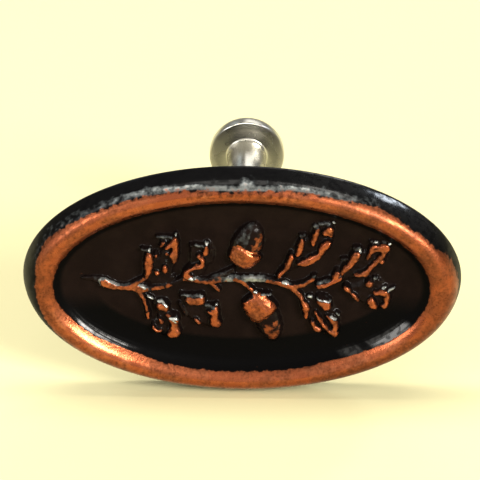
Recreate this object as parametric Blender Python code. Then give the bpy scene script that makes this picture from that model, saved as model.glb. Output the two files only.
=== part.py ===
"""Oval cabinet pull with an oak sprig in relief, and the machine screw that fixes it to a door.

It is drawn as fixed to an upright panel: the face looks towards -Y, +Z is up and the long axis
of the oval runs along X. The origin is the middle of the seat of the neck, on the panel's plane.
"""

import math

import bmesh
import bpy
from mathutils import Vector

# Driving sizes, in millimetres. Heights on the head are over the plane of its back edge.
HEAD_LENGTH = 44.45
HEAD_HEIGHT = 25.4
HEAD_THICKNESS = 3.4
RIM_WIDTH = 3.12
COVE_WIDTH = 3.88
FACE_FLOOR = 1.5
SPRIG_HEIGHT = 1.36
LEAF_HEIGHT = 0.5
BACK_LAND = 1.35
HOLLOW_DEPTH = 0.5
NECK_LENGTH = 12.0
NECK_RADIUS = 3.55
NECK_FOOT = 1.6
SEAT_RADIUS = 5.0
SCREW_RADIUS = 2.083
SCREW_LENGTH = 25.4
SCREW_HEAD_RADIUS = 4.08
SCREW_HEAD_HEIGHT = 2.9
SLOT_WIDTH = 1.18
SLOT_DEPTH = 1.3
THREAD_CLEARANCE = 0.3
TIP_CLEARANCE = 0.2
# How far the screw's tip is turned in past the back of the head.
SCREW_TIP_HEIGHT = -0.3

# Sizes tied to the ones above. The sprig is drawn on an oval of 44.45 by 25.4, 1.36 high.
MM = 0.001
HALF_LENGTH = HEAD_LENGTH / 2
HALF_HEIGHT = HEAD_HEIGHT / 2
ACROSS_X = HEAD_LENGTH / 44.45
ACROSS_Z = HEAD_HEIGHT / 25.4
LIFT = SPRIG_HEIGHT / 1.36
WEB = FACE_FLOOR - HOLLOW_DEPTH
HOLE_RADIUS = SCREW_RADIUS + THREAD_CLEARANCE
HOLE_END = SCREW_TIP_HEIGHT + TIP_CLEARANCE
SCREW_BEARING = SCREW_LENGTH - SCREW_TIP_HEIGHT - NECK_LENGTH

# Smoothness: points round the oval, and round the screw.
OVAL_POINTS = 84
ROUND_POINTS = 48

# The rim is a little wider at the two ends of the oval than at its long sides.
RIM_AT_ENDS = 1.06
RIM_AT_SIDES = 0.92
# The cove from the floor out to the bead: shares of its width and of its height.
COVE = [(1.0, 0.0), (0.64, 0.09), (0.3, 0.34), (0.08, 0.68)]
# The bead from the cove round to the back edge: shares of the rim's width and of its height.
BEAD = [
    (1.0, 0.8), (0.94, 0.87), (0.82, 0.96), (0.67, 1.0), (0.5, 0.98), (0.35, 0.9), (0.22, 0.76),
    (0.11, 0.54), (0.016, 0.2), (0.0, 0.09),
]
# The neck's flare: share of the way out to the seat's radius, distance before the seat.
SEAT_FLARE = [(0.0, 4.6), (0.17, 3.2), (0.5, 1.9), (0.88, 0.95), (1.0, 0.3), (0.97, 0.0)]

# The sprig, as seen from the front: x and z in millimetres. Leaf blades lie low, and the veins,
# lobe ends and curled edges stand over them. A stem's third number is its half width.
LEAVES = [
    [
        (-9.57, -0.42), (-10.17, 0.16), (-10.04, 2.04), (-9.91, 3.9), (-9.2, 4.25), (-8.9, 3.79),
        (-8.51, 3.1), (-8.2, 4.03), (-8.28, 5.07), (-7.57, 5.54), (-6.67, 5.9), (-6.17, 5.33),
        (-6.09, 3.71), (-6.31, 2.2), (-6.72, 1.38), (-6.73, 0.32), (-7.45, -0.62),
        (-8.67, -0.88),
    ],
    [
        (-4.61, 0), (-5.82, 0.33), (-6.22, 0.92), (-5.61, 1.62), (-5.4, 2.56), (-5.48, 4.07),
        (-5.18, 4.76), (-4.17, 4.89), (-3.27, 5.02), (-2.77, 4.56), (-2.47, 3.52), (-2.58, 2.36),
        (-3.29, 1.65), (-3.6, 0.83),
    ],
    [
        (-9.3, -2.06), (-8.88, -1.47), (-8.07, -1.69), (-7.27, -2.04), (-7.08, -3.34),
        (-6.17, -3.8), (-6.18, -5.23), (-5.88, -5.95), (-6.3, -6.79), (-7.73, -6.81),
        (-8.85, -6.22), (-9.35, -5.51), (-9.03, -4.31), (-8.51, -4.07), (-9.11, -3.25),
    ],
    [
        (-6.55, -1.91), (-6.44, -1.2), (-5.23, -1.07), (-3.81, -1.05), (-3.51, -2.23),
        (-2.4, -2.21), (-2.1, -3.28), (-1.8, -5.06), (-2.31, -5.66), (-3.53, -5.56),
        (-4.65, -5.33), (-5.36, -4.63), (-5.86, -3.68), (-6.16, -2.73),
    ],
    [
        (3.47, 0.45), (3.66, 1.74), (4.56, 3.38), (5.24, 4.89), (6.03, 5.93), (6.54, 5.48),
        (6.73, 6.52), (7.32, 7.21), (8.21, 7.45), (9.31, 7.46), (9.62, 6.66), (9.54, 5.29),
        (9.26, 4.13), (8.38, 2.96), (7.28, 2.13), (5.88, 1.65), (4.88, 1.05), (4.28, 0.23),
    ],
    [
        (7.11, -0.33), (7.71, 0.38), (8.9, 1.34), (9.89, 2.51), (10.67, 3.68), (11.25, 4.61),
        (12.05, 4.74), (12.47, 4.05), (12.85, 4.98), (13.64, 5.33), (15.14, 5.12), (15.27, 4.08),
        (14.81, 2.57), (14.13, 1.75), (13.14, 1.04), (12.14, 0.56), (10.74, 0.19), (9.54, -0.41),
        (8.13, -0.78),
    ],
    [
        (5.71, -1.52), (6.41, -1.04), (7.23, -1.38), (7.93, -0.9), (9.25, -1.48), (9.37, -2.54),
        (10.09, -3.12), (10.21, -4.43), (10.14, -6.22), (9.54, -6.71), (8.2, -6), (7.28, -5.9),
        (6.76, -4.71), (6.14, -3.88), (5.82, -2.7),
    ],
    [
        (10.04, -0.17), (11.14, 0.08), (12.34, 0.56), (13.34, 1.04), (14.15, 0.93),
        (14.47, 0.12), (15.68, 0.13), (15.8, -0.57), (15.32, -1.64), (15.25, -2.82),
        (14.15, -3.19), (12.83, -3.09), (11.8, -2.27), (10.77, -1.46),
    ],
]
HIGH_SPOTS = [
    (1.0, [
        (-9.52, 3.76), (-9.1, 3.7), (-8.84, 3.01), (-8.94, 2.03), (-9.06, 1.5), (-9.38, 0.83),
        (-9.77, 0.65), (-9.84, 0.95), (-9.67, 1.49), (-9.82, 2.21), (-9.73, 3),
    ]),
    (1.05, [
        (-6.85, 5.49), (-6.47, 5.61), (-6.3, 4.93), (-6.36, 4.28), (-6.33, 3.7), (-6.42, 3.07),
        (-6.74, 2.37), (-6.89, 2.53), (-7.11, 3.15), (-7.34, 3.44), (-7.21, 3.81), (-6.9, 4.08),
        (-7.1, 4.51), (-7.41, 4.12), (-7.79, 4.21), (-7.64, 4.56), (-7.32, 4.83),
    ]),
    (0.9, [
        (-8, 2.15), (-7.69, 2.33), (-7.41, 2.04), (-7.4, 1.52), (-7.71, 1.24), (-8.01, 1.45),
    ]),
    (0.8, [
        (-8.86, 1.44), (-8.56, 1.62), (-8.17, 1.39), (-8.42, 1.08), (-8.76, 1.15),
    ]),
    (0.8, [
        (-8.79, 3.48), (-8.54, 3.62), (-8.37, 3.32), (-8.53, 3.04), (-8.77, 3.17),
    ]),
    (0.95, [
        (-3.57, 4.72), (-3.4, 4.72), (-3.3, 4.26), (-3.26, 3.63), (-3.56, 3.36), (-3.91, 3.45),
        (-3.96, 3.85), (-3.76, 4.26),
    ]),
    (1.0, [
        (-4.52, 3.58), (-4.26, 3.76), (-4.04, 3.35), (-3.7, 3.13), (-3.64, 2.28), (-4.01, 1.88),
        (-4.72, 1.88), (-5.32, 1.52), (-5.13, 1.12), (-4.68, 0.78), (-4.73, 0.5), (-5.33, 0.61),
        (-5.93, 0.88), (-5.93, 1.39), (-5.48, 1.87), (-4.97, 2.22), (-4.41, 2.48), (-4.09, 2.6),
        (-4.2, 2.97), (-4.52, 3.25),
    ]),
    (0.95, [
        (-8.66, -2.48), (-8.42, -2.12), (-7.95, -1.99), (-7.34, -2.32), (-7.37, -3),
        (-7.74, -3.22), (-8.04, -2.96), (-8.43, -2.99),
    ]),
    (1.05, [
        (-7.81, -3.4), (-7.35, -3.49), (-6.41, -3.78), (-6.32, -4.29), (-6.51, -4.75),
        (-6.28, -5.28), (-6.13, -5.57), (-6.44, -6.03), (-6.99, -6.22), (-7.46, -6.13),
        (-7.69, -5.77), (-7.38, -5.58), (-7.21, -4.85), (-7.28, -4.31), (-7.6, -3.8),
    ]),
    (0.9, [
        (-8.52, -3.88), (-8.3, -3.83), (-7.94, -4.35), (-8.01, -4.68), (-8.31, -4.61),
    ]),
    (0.85, [
        (-9.13, -4.75), (-8.95, -4.8), (-8.71, -5.22), (-8.04, -5.31), (-8.08, -5.6),
        (-8.78, -5.63), (-9.1, -5.2),
    ]),
    (0.95, [
        (-5.78, -1.54), (-5.31, -1.3), (-4.4, -1.31), (-3.89, -1.14), (-3.71, -1.57),
        (-3.77, -2.22), (-4.41, -2.35), (-5.25, -2.38), (-5.62, -1.96),
    ]),
    (0.75, [
        (-6.29, -1.2), (-6.08, -1.12), (-6.03, -1.59), (-6.21, -1.62),
    ]),
    (0.8, [
        (-4.91, -3.89), (-4.69, -3.87), (-4.08, -4.38), (-4.16, -4.72), (-4.57, -4.63),
    ]),
    (1.0, [
        (-3.62, -3.07), (-3.3, -2.83), (-2.76, -2.35), (-2.36, -2.52), (-2.28, -3.45),
        (-2.36, -3.82), (-2.05, -4.45), (-2.13, -4.84), (-2.69, -4.96), (-3.16, -4.68),
        (-3.24, -3.92), (-3.07, -3.46),
    ]),
    (0.9, [
        (3.57, 0.78), (3.62, 1.36), (3.87, 1.71), (4.23, 2), (4.45, 2.53), (4.62, 3.06),
        (4.84, 3.66), (5.18, 3.75), (5.28, 3.24), (5.03, 2.73), (4.97, 2.31), (4.67, 1.84),
        (4.23, 1.48), (3.99, 0.97),
    ]),
    (0.95, [
        (5.36, 3.48), (5.57, 4.72), (5.9, 5.52), (6.16, 5.66), (6.3, 5.04), (6.24, 4.32),
        (5.81, 3.44),
    ]),
    (1.0, [
        (5.43, 2.67), (6.43, 3.24), (7.15, 3.67), (7.7, 3.97), (7.67, 4.56), (8.38, 5.32),
        (9.02, 5.37), (8.94, 4.79), (8.4, 4.12), (7.99, 3.38), (7.33, 2.77), (6.44, 2.34),
        (5.64, 2.44),
    ]),
    (0.95, [
        (6.98, 5.48), (7.21, 6.29), (7.42, 6.75), (7.78, 6.94), (7.82, 6.3), (7.58, 5.56),
        (7.35, 4.75), (7.05, 4.65), (6.88, 5.09),
    ]),
    (0.95, [
        (7.99, 6.18), (8.51, 6.99), (9.08, 7.13), (9.22, 6.4), (9.01, 5.62), (8.53, 5.94),
        (8.17, 5.84),
    ]),
    (0.85, [
        (9.11, 0.93), (9.23, 1.46), (9.54, 1.83), (9.9, 1.72), (9.87, 1.29), (9.75, 0.82),
        (9.31, 0.75),
    ]),
    (1.0, [
        (9.93, 1.85), (10.29, 2.37), (10.63, 2.67), (10.87, 3.25), (11.16, 3.95), (11.49, 4.27),
        (11.96, 4.03), (11.89, 3.42), (11.48, 2.75), (11.03, 2.21), (10.64, 1.85), (10.3, 1.52),
        (10.05, 1.19), (9.98, 1.54),
    ]),
    (0.95, [
        (7.37, 0.1), (7.86, 0.27), (8.51, 0.57), (9.11, 0.87), (9.61, 0.97), (10.01, 1.28),
        (10.25, 1.33), (10.19, 0.86), (9.72, 0.51), (9.02, 0.17), (8.32, -0.19), (7.72, -0.31),
    ]),
    (0.95, [
        (12.49, 3.36), (12.7, 3.9), (12.8, 4.58), (13.06, 4.98), (13.44, 4.94), (13.69, 4.73),
        (14.28, 5.13), (14.98, 4.8), (14.87, 4.17), (14.5, 3.95), (14.39, 3.43), (13.98, 3.14),
        (13.65, 2.58), (13.06, 2.09), (12.97, 1.67), (12.5, 1.08), (12.12, 1.28), (11.65, 1.15),
        (11.19, 1.4), (11.81, 1.69), (12.29, 1.9), (12.74, 2.32), (13.24, 2.97), (13.63, 3.37),
        (13.92, 3.79), (14.01, 4.18), (13.75, 4.19), (13.41, 4.12), (13.1, 3.84), (12.87, 3.42),
        (12.64, 3.06),
    ]),
    (0.8, [
        (12.37, 0.22), (12.82, 0.69), (13.32, 0.56), (13.21, -0.01), (12.71, -0.11),
    ]),
    (0.85, [
        (10.18, -0.06), (10.57, 0.08), (10.96, -0.17), (11.15, -0.61), (11.72, -1.08),
        (11.96, -1.61), (11.76, -1.81), (11.31, -1.36), (10.89, -0.76), (10.39, -0.47),
    ]),
    (0.95, [
        (12.67, -1.76), (12.98, -1.2), (13.34, -1.2), (13.62, -1.82), (13.82, -2.33),
        (13.69, -2.64), (13.13, -2.51), (12.73, -2.02),
    ]),
    (0.95, [
        (13.24, -0.55), (13.81, -0.3), (14.42, -0.27), (14.87, -0.51), (15.03, -1.16),
        (14.87, -1.97), (14.8, -2.34), (14.29, -2.52), (13.96, -2.24), (14.25, -1.93),
        (14.42, -1.64), (14.35, -1.17), (14.18, -0.94), (13.71, -0.9), (13.31, -0.9),
    ]),
    (0.9, [
        (5.88, -1.19), (6.15, -1.3), (6.4, -1.77), (6.94, -2.37), (6.95, -2.71), (6.8, -3.04),
        (6.8, -3.14), (6.76, -3.68), (6.53, -3.95), (6.34, -3.69), (6.29, -3.03), (6.17, -2.79),
        (6.07, -2.21),
    ]),
    (1.05, [
        (7.56, -1.31), (7.99, -1.24), (8.51, -1.35), (9.01, -1.73), (9.07, -2.59), (8.63, -2.8),
        (8.2, -2.57), (7.66, -2.02),
    ]),
    (0.95, [
        (8.47, -3.32), (9.08, -3.43), (9.59, -3.74), (9.86, -4.54), (9.88, -5.61), (9.62, -5.98),
        (9.11, -5.74), (8.49, -5.09), (7.97, -4.39), (7.58, -3.62), (7.35, -2.96), (7.59, -2.86),
        (7.96, -3.52), (8.38, -4.2), (8.9, -4.91), (9.25, -5.1), (9.19, -4.49), (8.83, -3.9),
    ]),
    (0.9, [
        (6.97, -3.93), (7.33, -3.96), (7.51, -4.43), (7.78, -4.75), (8.17, -5.06), (8.07, -5.39),
        (7.61, -5.4), (7.25, -5.03), (7.03, -4.42),
    ]),
    (0.9, [
        (13.84, 3.16), (14.22, 3.26), (14.41, 2.84), (14.09, 2.63), (13.83, 2.81),
    ]),
]
STEMS = [
    (0.9, [
        (-16.64, 0.64, 0.09), (-15.69, 0.65, 0.17), (-14.78, 0.53, 0.27), (-14.24, 0.32, 0.38),
    ]),
    (0.9, [
        (-13.93, 0.15, 0.52), (-12.48, -0.31, 0.23), (-11.06, -0.3, 0.44), (-9.85, -0.54, 0.3),
        (-9.14, -0.44, 0.22), (-8.13, -0.28, 0.26), (-7.42, -0.09, 0.24), (-6.71, 0.23, 0.2),
        (-5.59, 0.8, 0.24), (-4.29, 0.49, 0.24), (-2.77, 0.64, 0.26), (-1.26, 0.91, 0.3),
        (1.06, 1, 0.32), (2.67, 0.86, 0.3), (4.99, -0.14, 0.3), (6.22, -1.77, 0.2),
    ]),
    (0.85, [
        (-10.96, -0.02, 0.26), (-10.24, 0.41, 0.18), (-9.63, 0.82, 0.22),
    ]),
    (0.7, [
        (-7.47, 0.24, 0.2), (-6.95, 0.81, 0.2),
    ]),
    (0.8, [
        (-10.47, -0.75, 0.24), (-9.98, -1.57, 0.22), (-9.69, -2.63, 0.18), (-9.55, -3.45, 0.28),
        (-9.52, -3.86, 0.22),
    ]),
    (0.85, [
        (-3.58, 0.54, 0.24), (-2.37, 1.19, 0.3), (-1.41, 1.79, 0.3), (-0.86, 2.21, 0.24),
    ]),
    (0.8, [
        (-3.28, 0.33, 0.2), (-2.78, -0.07, 0.18), (-2.28, -0.6, 0.18),
    ]),
    (0.9, [
        (-0.66, 0.84, 0.24), (0.25, 0.31, 0.24), (1.06, -0.54, 0.18), (1.46, -1.25, 0.18),
    ]),
    (0.85, [
        (5.19, -0.12, 0.26), (6.3, 0.17, 0.26), (7.24, 0.88, 0.23),
    ]),
    (0.7, [
        (-6.24, -2.29, 0.16), (-5.64, -3.52, 0.18),
    ]),
]
# Acorns: foot of the cup (x, z), direction of the cup and of the nut in degrees, and the
# lengths of both. Sections run from the foot to the tip: share of the length, half width, height.
ACORNS = [
    ((-0.46, 2.3), 55.0, 62.0, 2.35, 3.35),
    ((0.86, -1.3), -60.0, -70.0, 2.8, 3.1),
]
CUP_SECTIONS = [
    (0.0, 0.35, 0.35), (0.08, 0.85, 0.72), (0.25, 1.3, 1.02), (0.5, 1.58, 1.25),
    (0.78, 1.68, 1.36), (0.94, 1.62, 1.32), (1.0, 1.42, 1.14),
]
NUT_SECTIONS = [
    (-0.12, 1.3, 1.02), (0.08, 1.4, 1.1), (0.3, 1.42, 1.12), (0.52, 1.3, 1.02),
    (0.72, 1.02, 0.84), (0.86, 0.68, 0.6), (0.93, 0.34, 0.42), (1.0, 0.1, 0.3),
]


def clear_scene():
    for item in list(bpy.data.objects):
        bpy.data.objects.remove(item, do_unlink=True)


def place(x, z, height):
    """A point of the head, from its place on the face and its height over the back of the head."""
    return Vector((x, -(NECK_LENGTH + height), z)) * MM


def make_object(name, mesh, material, smooth_angle):
    mesh.materials.append(material)
    item = bpy.data.objects.new(name, mesh)
    bpy.context.scene.collection.objects.link(item)
    mesh.shade_smooth()
    mesh.set_sharp_from_angle(angle=math.radians(smooth_angle))
    return item


def mesh_from_rings(name, rings, first_tip=None, last_tip=None):
    """A closed mesh through rings of equal point count, with a face or a tip at each end."""
    bm = bmesh.new()
    built = [[bm.verts.new(point) for point in ring] for ring in rings]
    count = len(built[0])
    for low, high in zip(built, built[1:]):
        for i in range(count):
            j = (i + 1) % count
            bm.faces.new((low[i], low[j], high[j], high[i]))
    for ring, tip in ((built[0], first_tip), (built[-1], last_tip)):
        if tip is None:
            bm.faces.new(ring)
            continue
        end = bm.verts.new(tip)
        for i in range(count):
            bm.faces.new((ring[i], ring[(i + 1) % count], end))
    bmesh.ops.recalc_face_normals(bm, faces=bm.faces)
    mesh = bpy.data.meshes.new(name)
    bm.to_mesh(mesh)
    bm.free()
    return mesh


def oval_ring(inward, height):
    points = []
    for i in range(OVAL_POINTS):
        turn = 2 * math.pi * i / OVAL_POINTS
        x = (HALF_LENGTH - inward * RIM_AT_ENDS) * math.cos(turn)
        z = (HALF_HEIGHT - inward * RIM_AT_SIDES) * math.sin(turn)
        points.append(place(x, z, height))
    return points


def round_ring(radius, height):
    points = []
    for i in range(OVAL_POINTS):
        turn = 2 * math.pi * i / OVAL_POINTS
        points.append(place(radius * math.cos(turn), radius * math.sin(turn), height))
    return points


def knob_mesh():
    """Head, hollow back, neck and tapped hole as one skin from the floor round to the hole's end."""
    rings = []
    cove_height = BEAD[0][1] * HEAD_THICKNESS - FACE_FLOOR
    for inward, height in COVE:
        rings.append(oval_ring(RIM_WIDTH + inward * COVE_WIDTH, FACE_FLOOR + height * cove_height))
    for inward, height in BEAD:
        rings.append(oval_ring(inward * RIM_WIDTH, height * HEAD_THICKNESS))
    rings.append(oval_ring(0.2, 0.0))
    rings.append(oval_ring(BACK_LAND, 0.0))
    rings.append(oval_ring(BACK_LAND + 0.2, 0.24 * HOLLOW_DEPTH))
    rings.append(oval_ring(BACK_LAND + 0.4, HOLLOW_DEPTH))
    rings.append(round_ring(NECK_RADIUS + NECK_FOOT, HOLLOW_DEPTH))
    rings.append(round_ring(NECK_RADIUS + 0.47 * NECK_FOOT, 0.44 * HOLLOW_DEPTH))
    rings.append(round_ring(NECK_RADIUS + 0.125 * NECK_FOOT, -0.3))
    rings.append(round_ring(NECK_RADIUS, -1.1))
    spread = SEAT_RADIUS - NECK_RADIUS
    for share, before in SEAT_FLARE:
        rings.append(round_ring(NECK_RADIUS + share * spread, before - NECK_LENGTH))
    rings.append(round_ring(HOLE_RADIUS + 0.25, -NECK_LENGTH))
    rings.append(round_ring(HOLE_RADIUS, 0.25 - NECK_LENGTH))
    rings.append(round_ring(HOLE_RADIUS, HOLE_END))
    drill_point = place(0, 0, HOLE_END + 0.38 * HOLE_RADIUS)
    return mesh_from_rings("knob", rings, last_tip=drill_point)


def widened(outline, distance):
    """The outline with every corner moved outwards along the mean of its two edges' normals."""
    count = len(outline)
    area = 0.0
    for i in range(count):
        ax, az = outline[i]
        bx, bz = outline[(i + 1) % count]
        area += ax * bz - bx * az
    turn = 1.0 if area > 0 else -1.0
    moved = []
    for i in range(count):
        before = Vector(outline[i - 1])
        here = Vector(outline[i])
        after = Vector(outline[(i + 1) % count])
        first = (here - before).normalized()
        second = (after - here).normalized()
        along = (first + second).normalized()
        normal = Vector((along.y, -along.x)) * turn
        moved.append(tuple(here + normal * distance))
    return moved


def mean_width(outline):
    count = len(outline)
    area = 0.0
    edge = 0.0
    for i in range(count):
        ax, az = outline[i]
        bx, bz = outline[(i + 1) % count]
        area += ax * bz - bx * az
        edge += math.hypot(bx - ax, bz - az)
    return abs(area) / edge


def raised(name, outline, rise, rounding, root):
    """A low solid on the floor with sloped sides and a rounded top edge."""
    inset = min(0.14, 0.24 * mean_width(outline))
    levels = [
        (0.13, -root * WEB),
        (0.0, (rise - 0.2 * rounding - 0.08) * LIFT),
        (-inset * 0.4, (rise - 0.06 * rounding - 0.02) * LIFT),
        (-inset, rise * LIFT),
    ]
    rings = []
    for distance, level in levels:
        ring = widened(outline, distance)
        rings.append([place(x * ACROSS_X, z * ACROSS_Z, FACE_FLOOR + level) for x, z in ring])
    return mesh_from_rings(name, rings)


def stem_outline(points):
    """The outline round a line of (x, z, half width) points, with a blunt end at both ends."""
    left = []
    right = []
    last = len(points) - 1
    for i, (x, z, half) in enumerate(points):
        ax, az, _ = points[max(i - 1, 0)]
        bx, bz, _ = points[min(i + 1, last)]
        along = Vector((bx - ax, bz - az)).normalized()
        left.append((x - along.y * half, z + along.x * half))
        right.append((x + along.y * half, z - along.x * half))
    ends = []
    for tip, inner in ((points[0], points[1]), (points[last], points[last - 1])):
        out = Vector((tip[0] - inner[0], tip[1] - inner[1])).normalized() * tip[2] * 0.8
        ends.append((tip[0] + out.x, tip[1] + out.y))
    return [ends[0]] + right + [ends[1]] + left[::-1]


def half_body(name, foot, direction, length, sections, root):
    """A body with a half-oval section lying on the floor, such as an acorn's cup or its nut."""
    turn = math.radians(direction)
    ahead = Vector((math.cos(turn), math.sin(turn)))
    aside = Vector((-ahead.y, ahead.x))
    rings = []
    for share, half, high in sections:
        middle = Vector(foot) + ahead * length * share
        ring = []
        for k in range(11):
            angle = math.pi * k / 10
            spot = middle + aside * half * math.cos(angle)
            level = FACE_FLOOR + high * math.sin(angle) * LIFT
            ring.append(place(spot.x * ACROSS_X, spot.y * ACROSS_Z, level))
        for side in (-1, 1):
            spot = middle + aside * half * side
            ring.append(place(spot.x * ACROSS_X, spot.y * ACROSS_Z, FACE_FLOOR - root * WEB))
        rings.append(ring)
    return mesh_from_rings(name, rings)


def relief_meshes():
    """The sprig's pieces, each rooted a little deeper than the last one, so that no feet meet."""
    meshes = []
    for i, outline in enumerate(LEAVES):
        rise = LEAF_HEIGHT / LIFT + 0.013 * i
        meshes.append(raised(f"leaf_{i}", outline, rise, 0.4, 0.3 + 0.007 * i))
    for i, (rise, outline) in enumerate(HIGH_SPOTS):
        meshes.append(raised(f"high_{i}", outline, rise + 0.003 * i, 1.0, 0.2 + 0.002 * i))
    for i, (rise, points) in enumerate(STEMS):
        outline = stem_outline(points)
        meshes.append(raised(f"stem_{i}", outline, rise - 0.017 * i, 1.6, 0.4 + 0.005 * i))
    for i, (foot, cup_turn, nut_turn, cup_length, nut_length) in enumerate(ACORNS):
        turn = math.radians(cup_turn)
        rim = (foot[0] + cup_length * math.cos(turn), foot[1] + cup_length * math.sin(turn))
        meshes.append(half_body(f"cup_{i}", foot, cup_turn, cup_length, CUP_SECTIONS, 0.32))
        meshes.append(half_body(f"nut_{i}", rim, nut_turn, nut_length, NUT_SECTIONS, 0.36))
    return meshes


def add_relief(knob, material):
    """Joins the sprig to the head, so that the casting is one solid."""
    group = bpy.data.collections.new("sprig")
    bpy.context.scene.collection.children.link(group)
    for mesh in relief_meshes():
        mesh.materials.append(material)
        piece = bpy.data.objects.new(mesh.name, mesh)
        group.objects.link(piece)
        piece.hide_render = True
        piece.display_type = "WIRE"
    join = knob.modifiers.new("sprig", "BOOLEAN")
    join.operation = "UNION"
    join.solver = "EXACT"
    join.operand_type = "COLLECTION"
    join.collection = group


def screw_mesh():
    top = SCREW_BEARING + SCREW_HEAD_HEIGHT
    tip = SCREW_BEARING - SCREW_LENGTH
    wide = SCREW_HEAD_RADIUS
    tall = SCREW_HEAD_HEIGHT
    profile = [
        (SCREW_RADIUS - 0.5, tip), (SCREW_RADIUS, tip + 0.5), (SCREW_RADIUS, SCREW_BEARING - 0.3),
        (SCREW_RADIUS + 0.09, SCREW_BEARING - 0.09), (SCREW_RADIUS + 0.3, SCREW_BEARING),
        (wide - 0.12, SCREW_BEARING), (wide, SCREW_BEARING + 0.12), (wide, top - 0.66 * tall),
        (wide * 0.97, top - 0.45 * tall), (wide * 0.89, top - 0.27 * tall),
        (wide * 0.75, top - 0.13 * tall), (wide * 0.5, top - 0.04 * tall),
        (wide * 0.25, top - 0.01 * tall),
    ]
    rings = []
    for radius, y in profile:
        ring = []
        for i in range(ROUND_POINTS):
            turn = 2 * math.pi * i / ROUND_POINTS
            ring.append(Vector((radius * math.cos(turn), y, radius * math.sin(turn))) * MM)
        rings.append(ring)
    return mesh_from_rings("screw", rings, last_tip=Vector((0, top, 0)) * MM)


def slot_cutter():
    """The driver slot across the top of the screw's head."""
    top = SCREW_BEARING + SCREW_HEAD_HEIGHT
    bm = bmesh.new()
    bmesh.ops.create_cube(bm, size=1.0)
    long_side = SCREW_HEAD_RADIUS * 2.5
    low = top - SLOT_DEPTH
    high = top + 1.0
    for vert in bm.verts:
        vert.co.x *= long_side * MM
        vert.co.y = (low if vert.co.y < 0 else high) * MM
        vert.co.z *= SLOT_WIDTH * MM
    bmesh.ops.recalc_face_normals(bm, faces=bm.faces)
    mesh = bpy.data.meshes.new("slot")
    bm.to_mesh(mesh)
    bm.free()
    cutter = bpy.data.objects.new("slot", mesh)
    bpy.context.scene.collection.objects.link(cutter)
    cutter.hide_render = True
    cutter.display_type = "WIRE"
    return cutter


def finish(name, colour, metallic, roughness):
    material = bpy.data.materials.new(name)
    material.use_nodes = True
    shader = material.node_tree.nodes["Principled BSDF"]
    shader.inputs["Base Color"].default_value = (*colour, 1.0)
    shader.inputs["Metallic"].default_value = metallic
    shader.inputs["Roughness"].default_value = roughness
    return material


def main():
    clear_scene()
    copper = finish("aged_copper", (0.36, 0.15, 0.06), 0.9, 0.42)
    zinc = finish("bright_zinc", (0.62, 0.62, 0.6), 1.0, 0.3)
    knob = make_object("knob", knob_mesh(), copper, 40)
    add_relief(knob, copper)
    screw = make_object("screw", screw_mesh(), zinc, 35)
    cut = screw.modifiers.new("slot", "BOOLEAN")
    cut.operation = "DIFFERENCE"
    cut.solver = "EXACT"
    cut.object = slot_cutter()


main()
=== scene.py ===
"""The oval pull as it is photographed: aged copper with an oak sprig, over its zinc screw."""

import math

import bmesh
import bpy
import numpy as np
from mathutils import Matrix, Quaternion, Vector, noise


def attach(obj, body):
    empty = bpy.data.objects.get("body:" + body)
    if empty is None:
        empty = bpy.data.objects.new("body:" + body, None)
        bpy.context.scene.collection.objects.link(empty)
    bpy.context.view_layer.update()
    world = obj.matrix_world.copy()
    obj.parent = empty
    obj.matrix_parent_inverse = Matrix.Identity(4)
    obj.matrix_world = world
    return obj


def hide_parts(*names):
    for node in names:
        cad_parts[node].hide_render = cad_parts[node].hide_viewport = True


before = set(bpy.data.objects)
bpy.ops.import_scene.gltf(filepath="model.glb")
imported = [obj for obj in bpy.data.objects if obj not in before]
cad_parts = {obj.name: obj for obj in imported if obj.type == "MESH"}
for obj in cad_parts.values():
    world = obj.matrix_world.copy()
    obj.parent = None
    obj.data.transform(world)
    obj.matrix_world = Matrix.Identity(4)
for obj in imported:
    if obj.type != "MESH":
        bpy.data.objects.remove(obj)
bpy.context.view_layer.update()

MM = 0.001

# The head and its neck, in millimetres, as in the source of the part.
HALF_LENGTH = 22.225
HALF_HEIGHT = 12.7
NECK_LENGTH = 12.0
FLOOR = 1.5
# How the oval's halves shrink for each millimetre in.
RIM_X = 1.06
RIM_Z = 0.92
# The cove round the floor: distance in from the back's edge, height over the back.
COVE = [
    (3.12, 2.7), (3.3, 2.52), (3.5, 2.34), (3.7, 2.18), (3.95, 2.02), (4.3, 1.87), (4.8, 1.74),
    (5.3, 1.64), (5.8, 1.57), (6.4, 1.52), (7.0, 1.5),
]
COVE_EDGE = COVE[0][0]
# From the foot of the cove over the bead to the back's edge: distance in, height over the back.
RIM_LOOPS = [
    (2.96, 2.85), (2.77, 3.02), (2.55, 3.18), (2.3, 3.31), (2.05, 3.38), (1.8, 3.4), (1.5, 3.32),
    (1.22, 3.16), (0.94, 2.91), (0.7, 2.58), (0.5, 2.18), (0.32, 1.7), (0.16, 1.15), (0.04, 0.6),
    (0.0, 0.34), (0.03, 0.14), (0.16, 0.0), (0.4, 0.0),
]
# The back from its flat land into its hollow, in the same way.
BACK_LAND = 1.3
BACK_LOOPS = [(1.42, 0.03), (1.52, 0.12), (1.62, 0.34), (1.76, 0.47), (1.95, 0.5)]
# The neck from the hollow of the back to the end of its hole: radius, distance behind the head.
NECK_LOOPS = [
    (5.3, -0.5), (4.85, -0.46), (4.45, -0.32), (4.1, -0.08), (3.83, 0.28), (3.65, 0.72),
    (3.57, 1.2), (3.55, 2.4), (3.55, 5.0), (3.55, 7.4), (3.62, 8.2), (3.78, 9.0), (4.05, 9.75),
    (4.4, 10.4), (4.72, 10.9), (4.92, 11.3), (5.0, 11.62), (5.0, 11.84), (4.95, 11.95),
    (4.84, 12.0), (2.62, 12.0), (2.5, 11.96), (2.16, 11.6), (2.16, 5.0), (2.16, 0.1), (0.6, -0.5),
]
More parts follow.
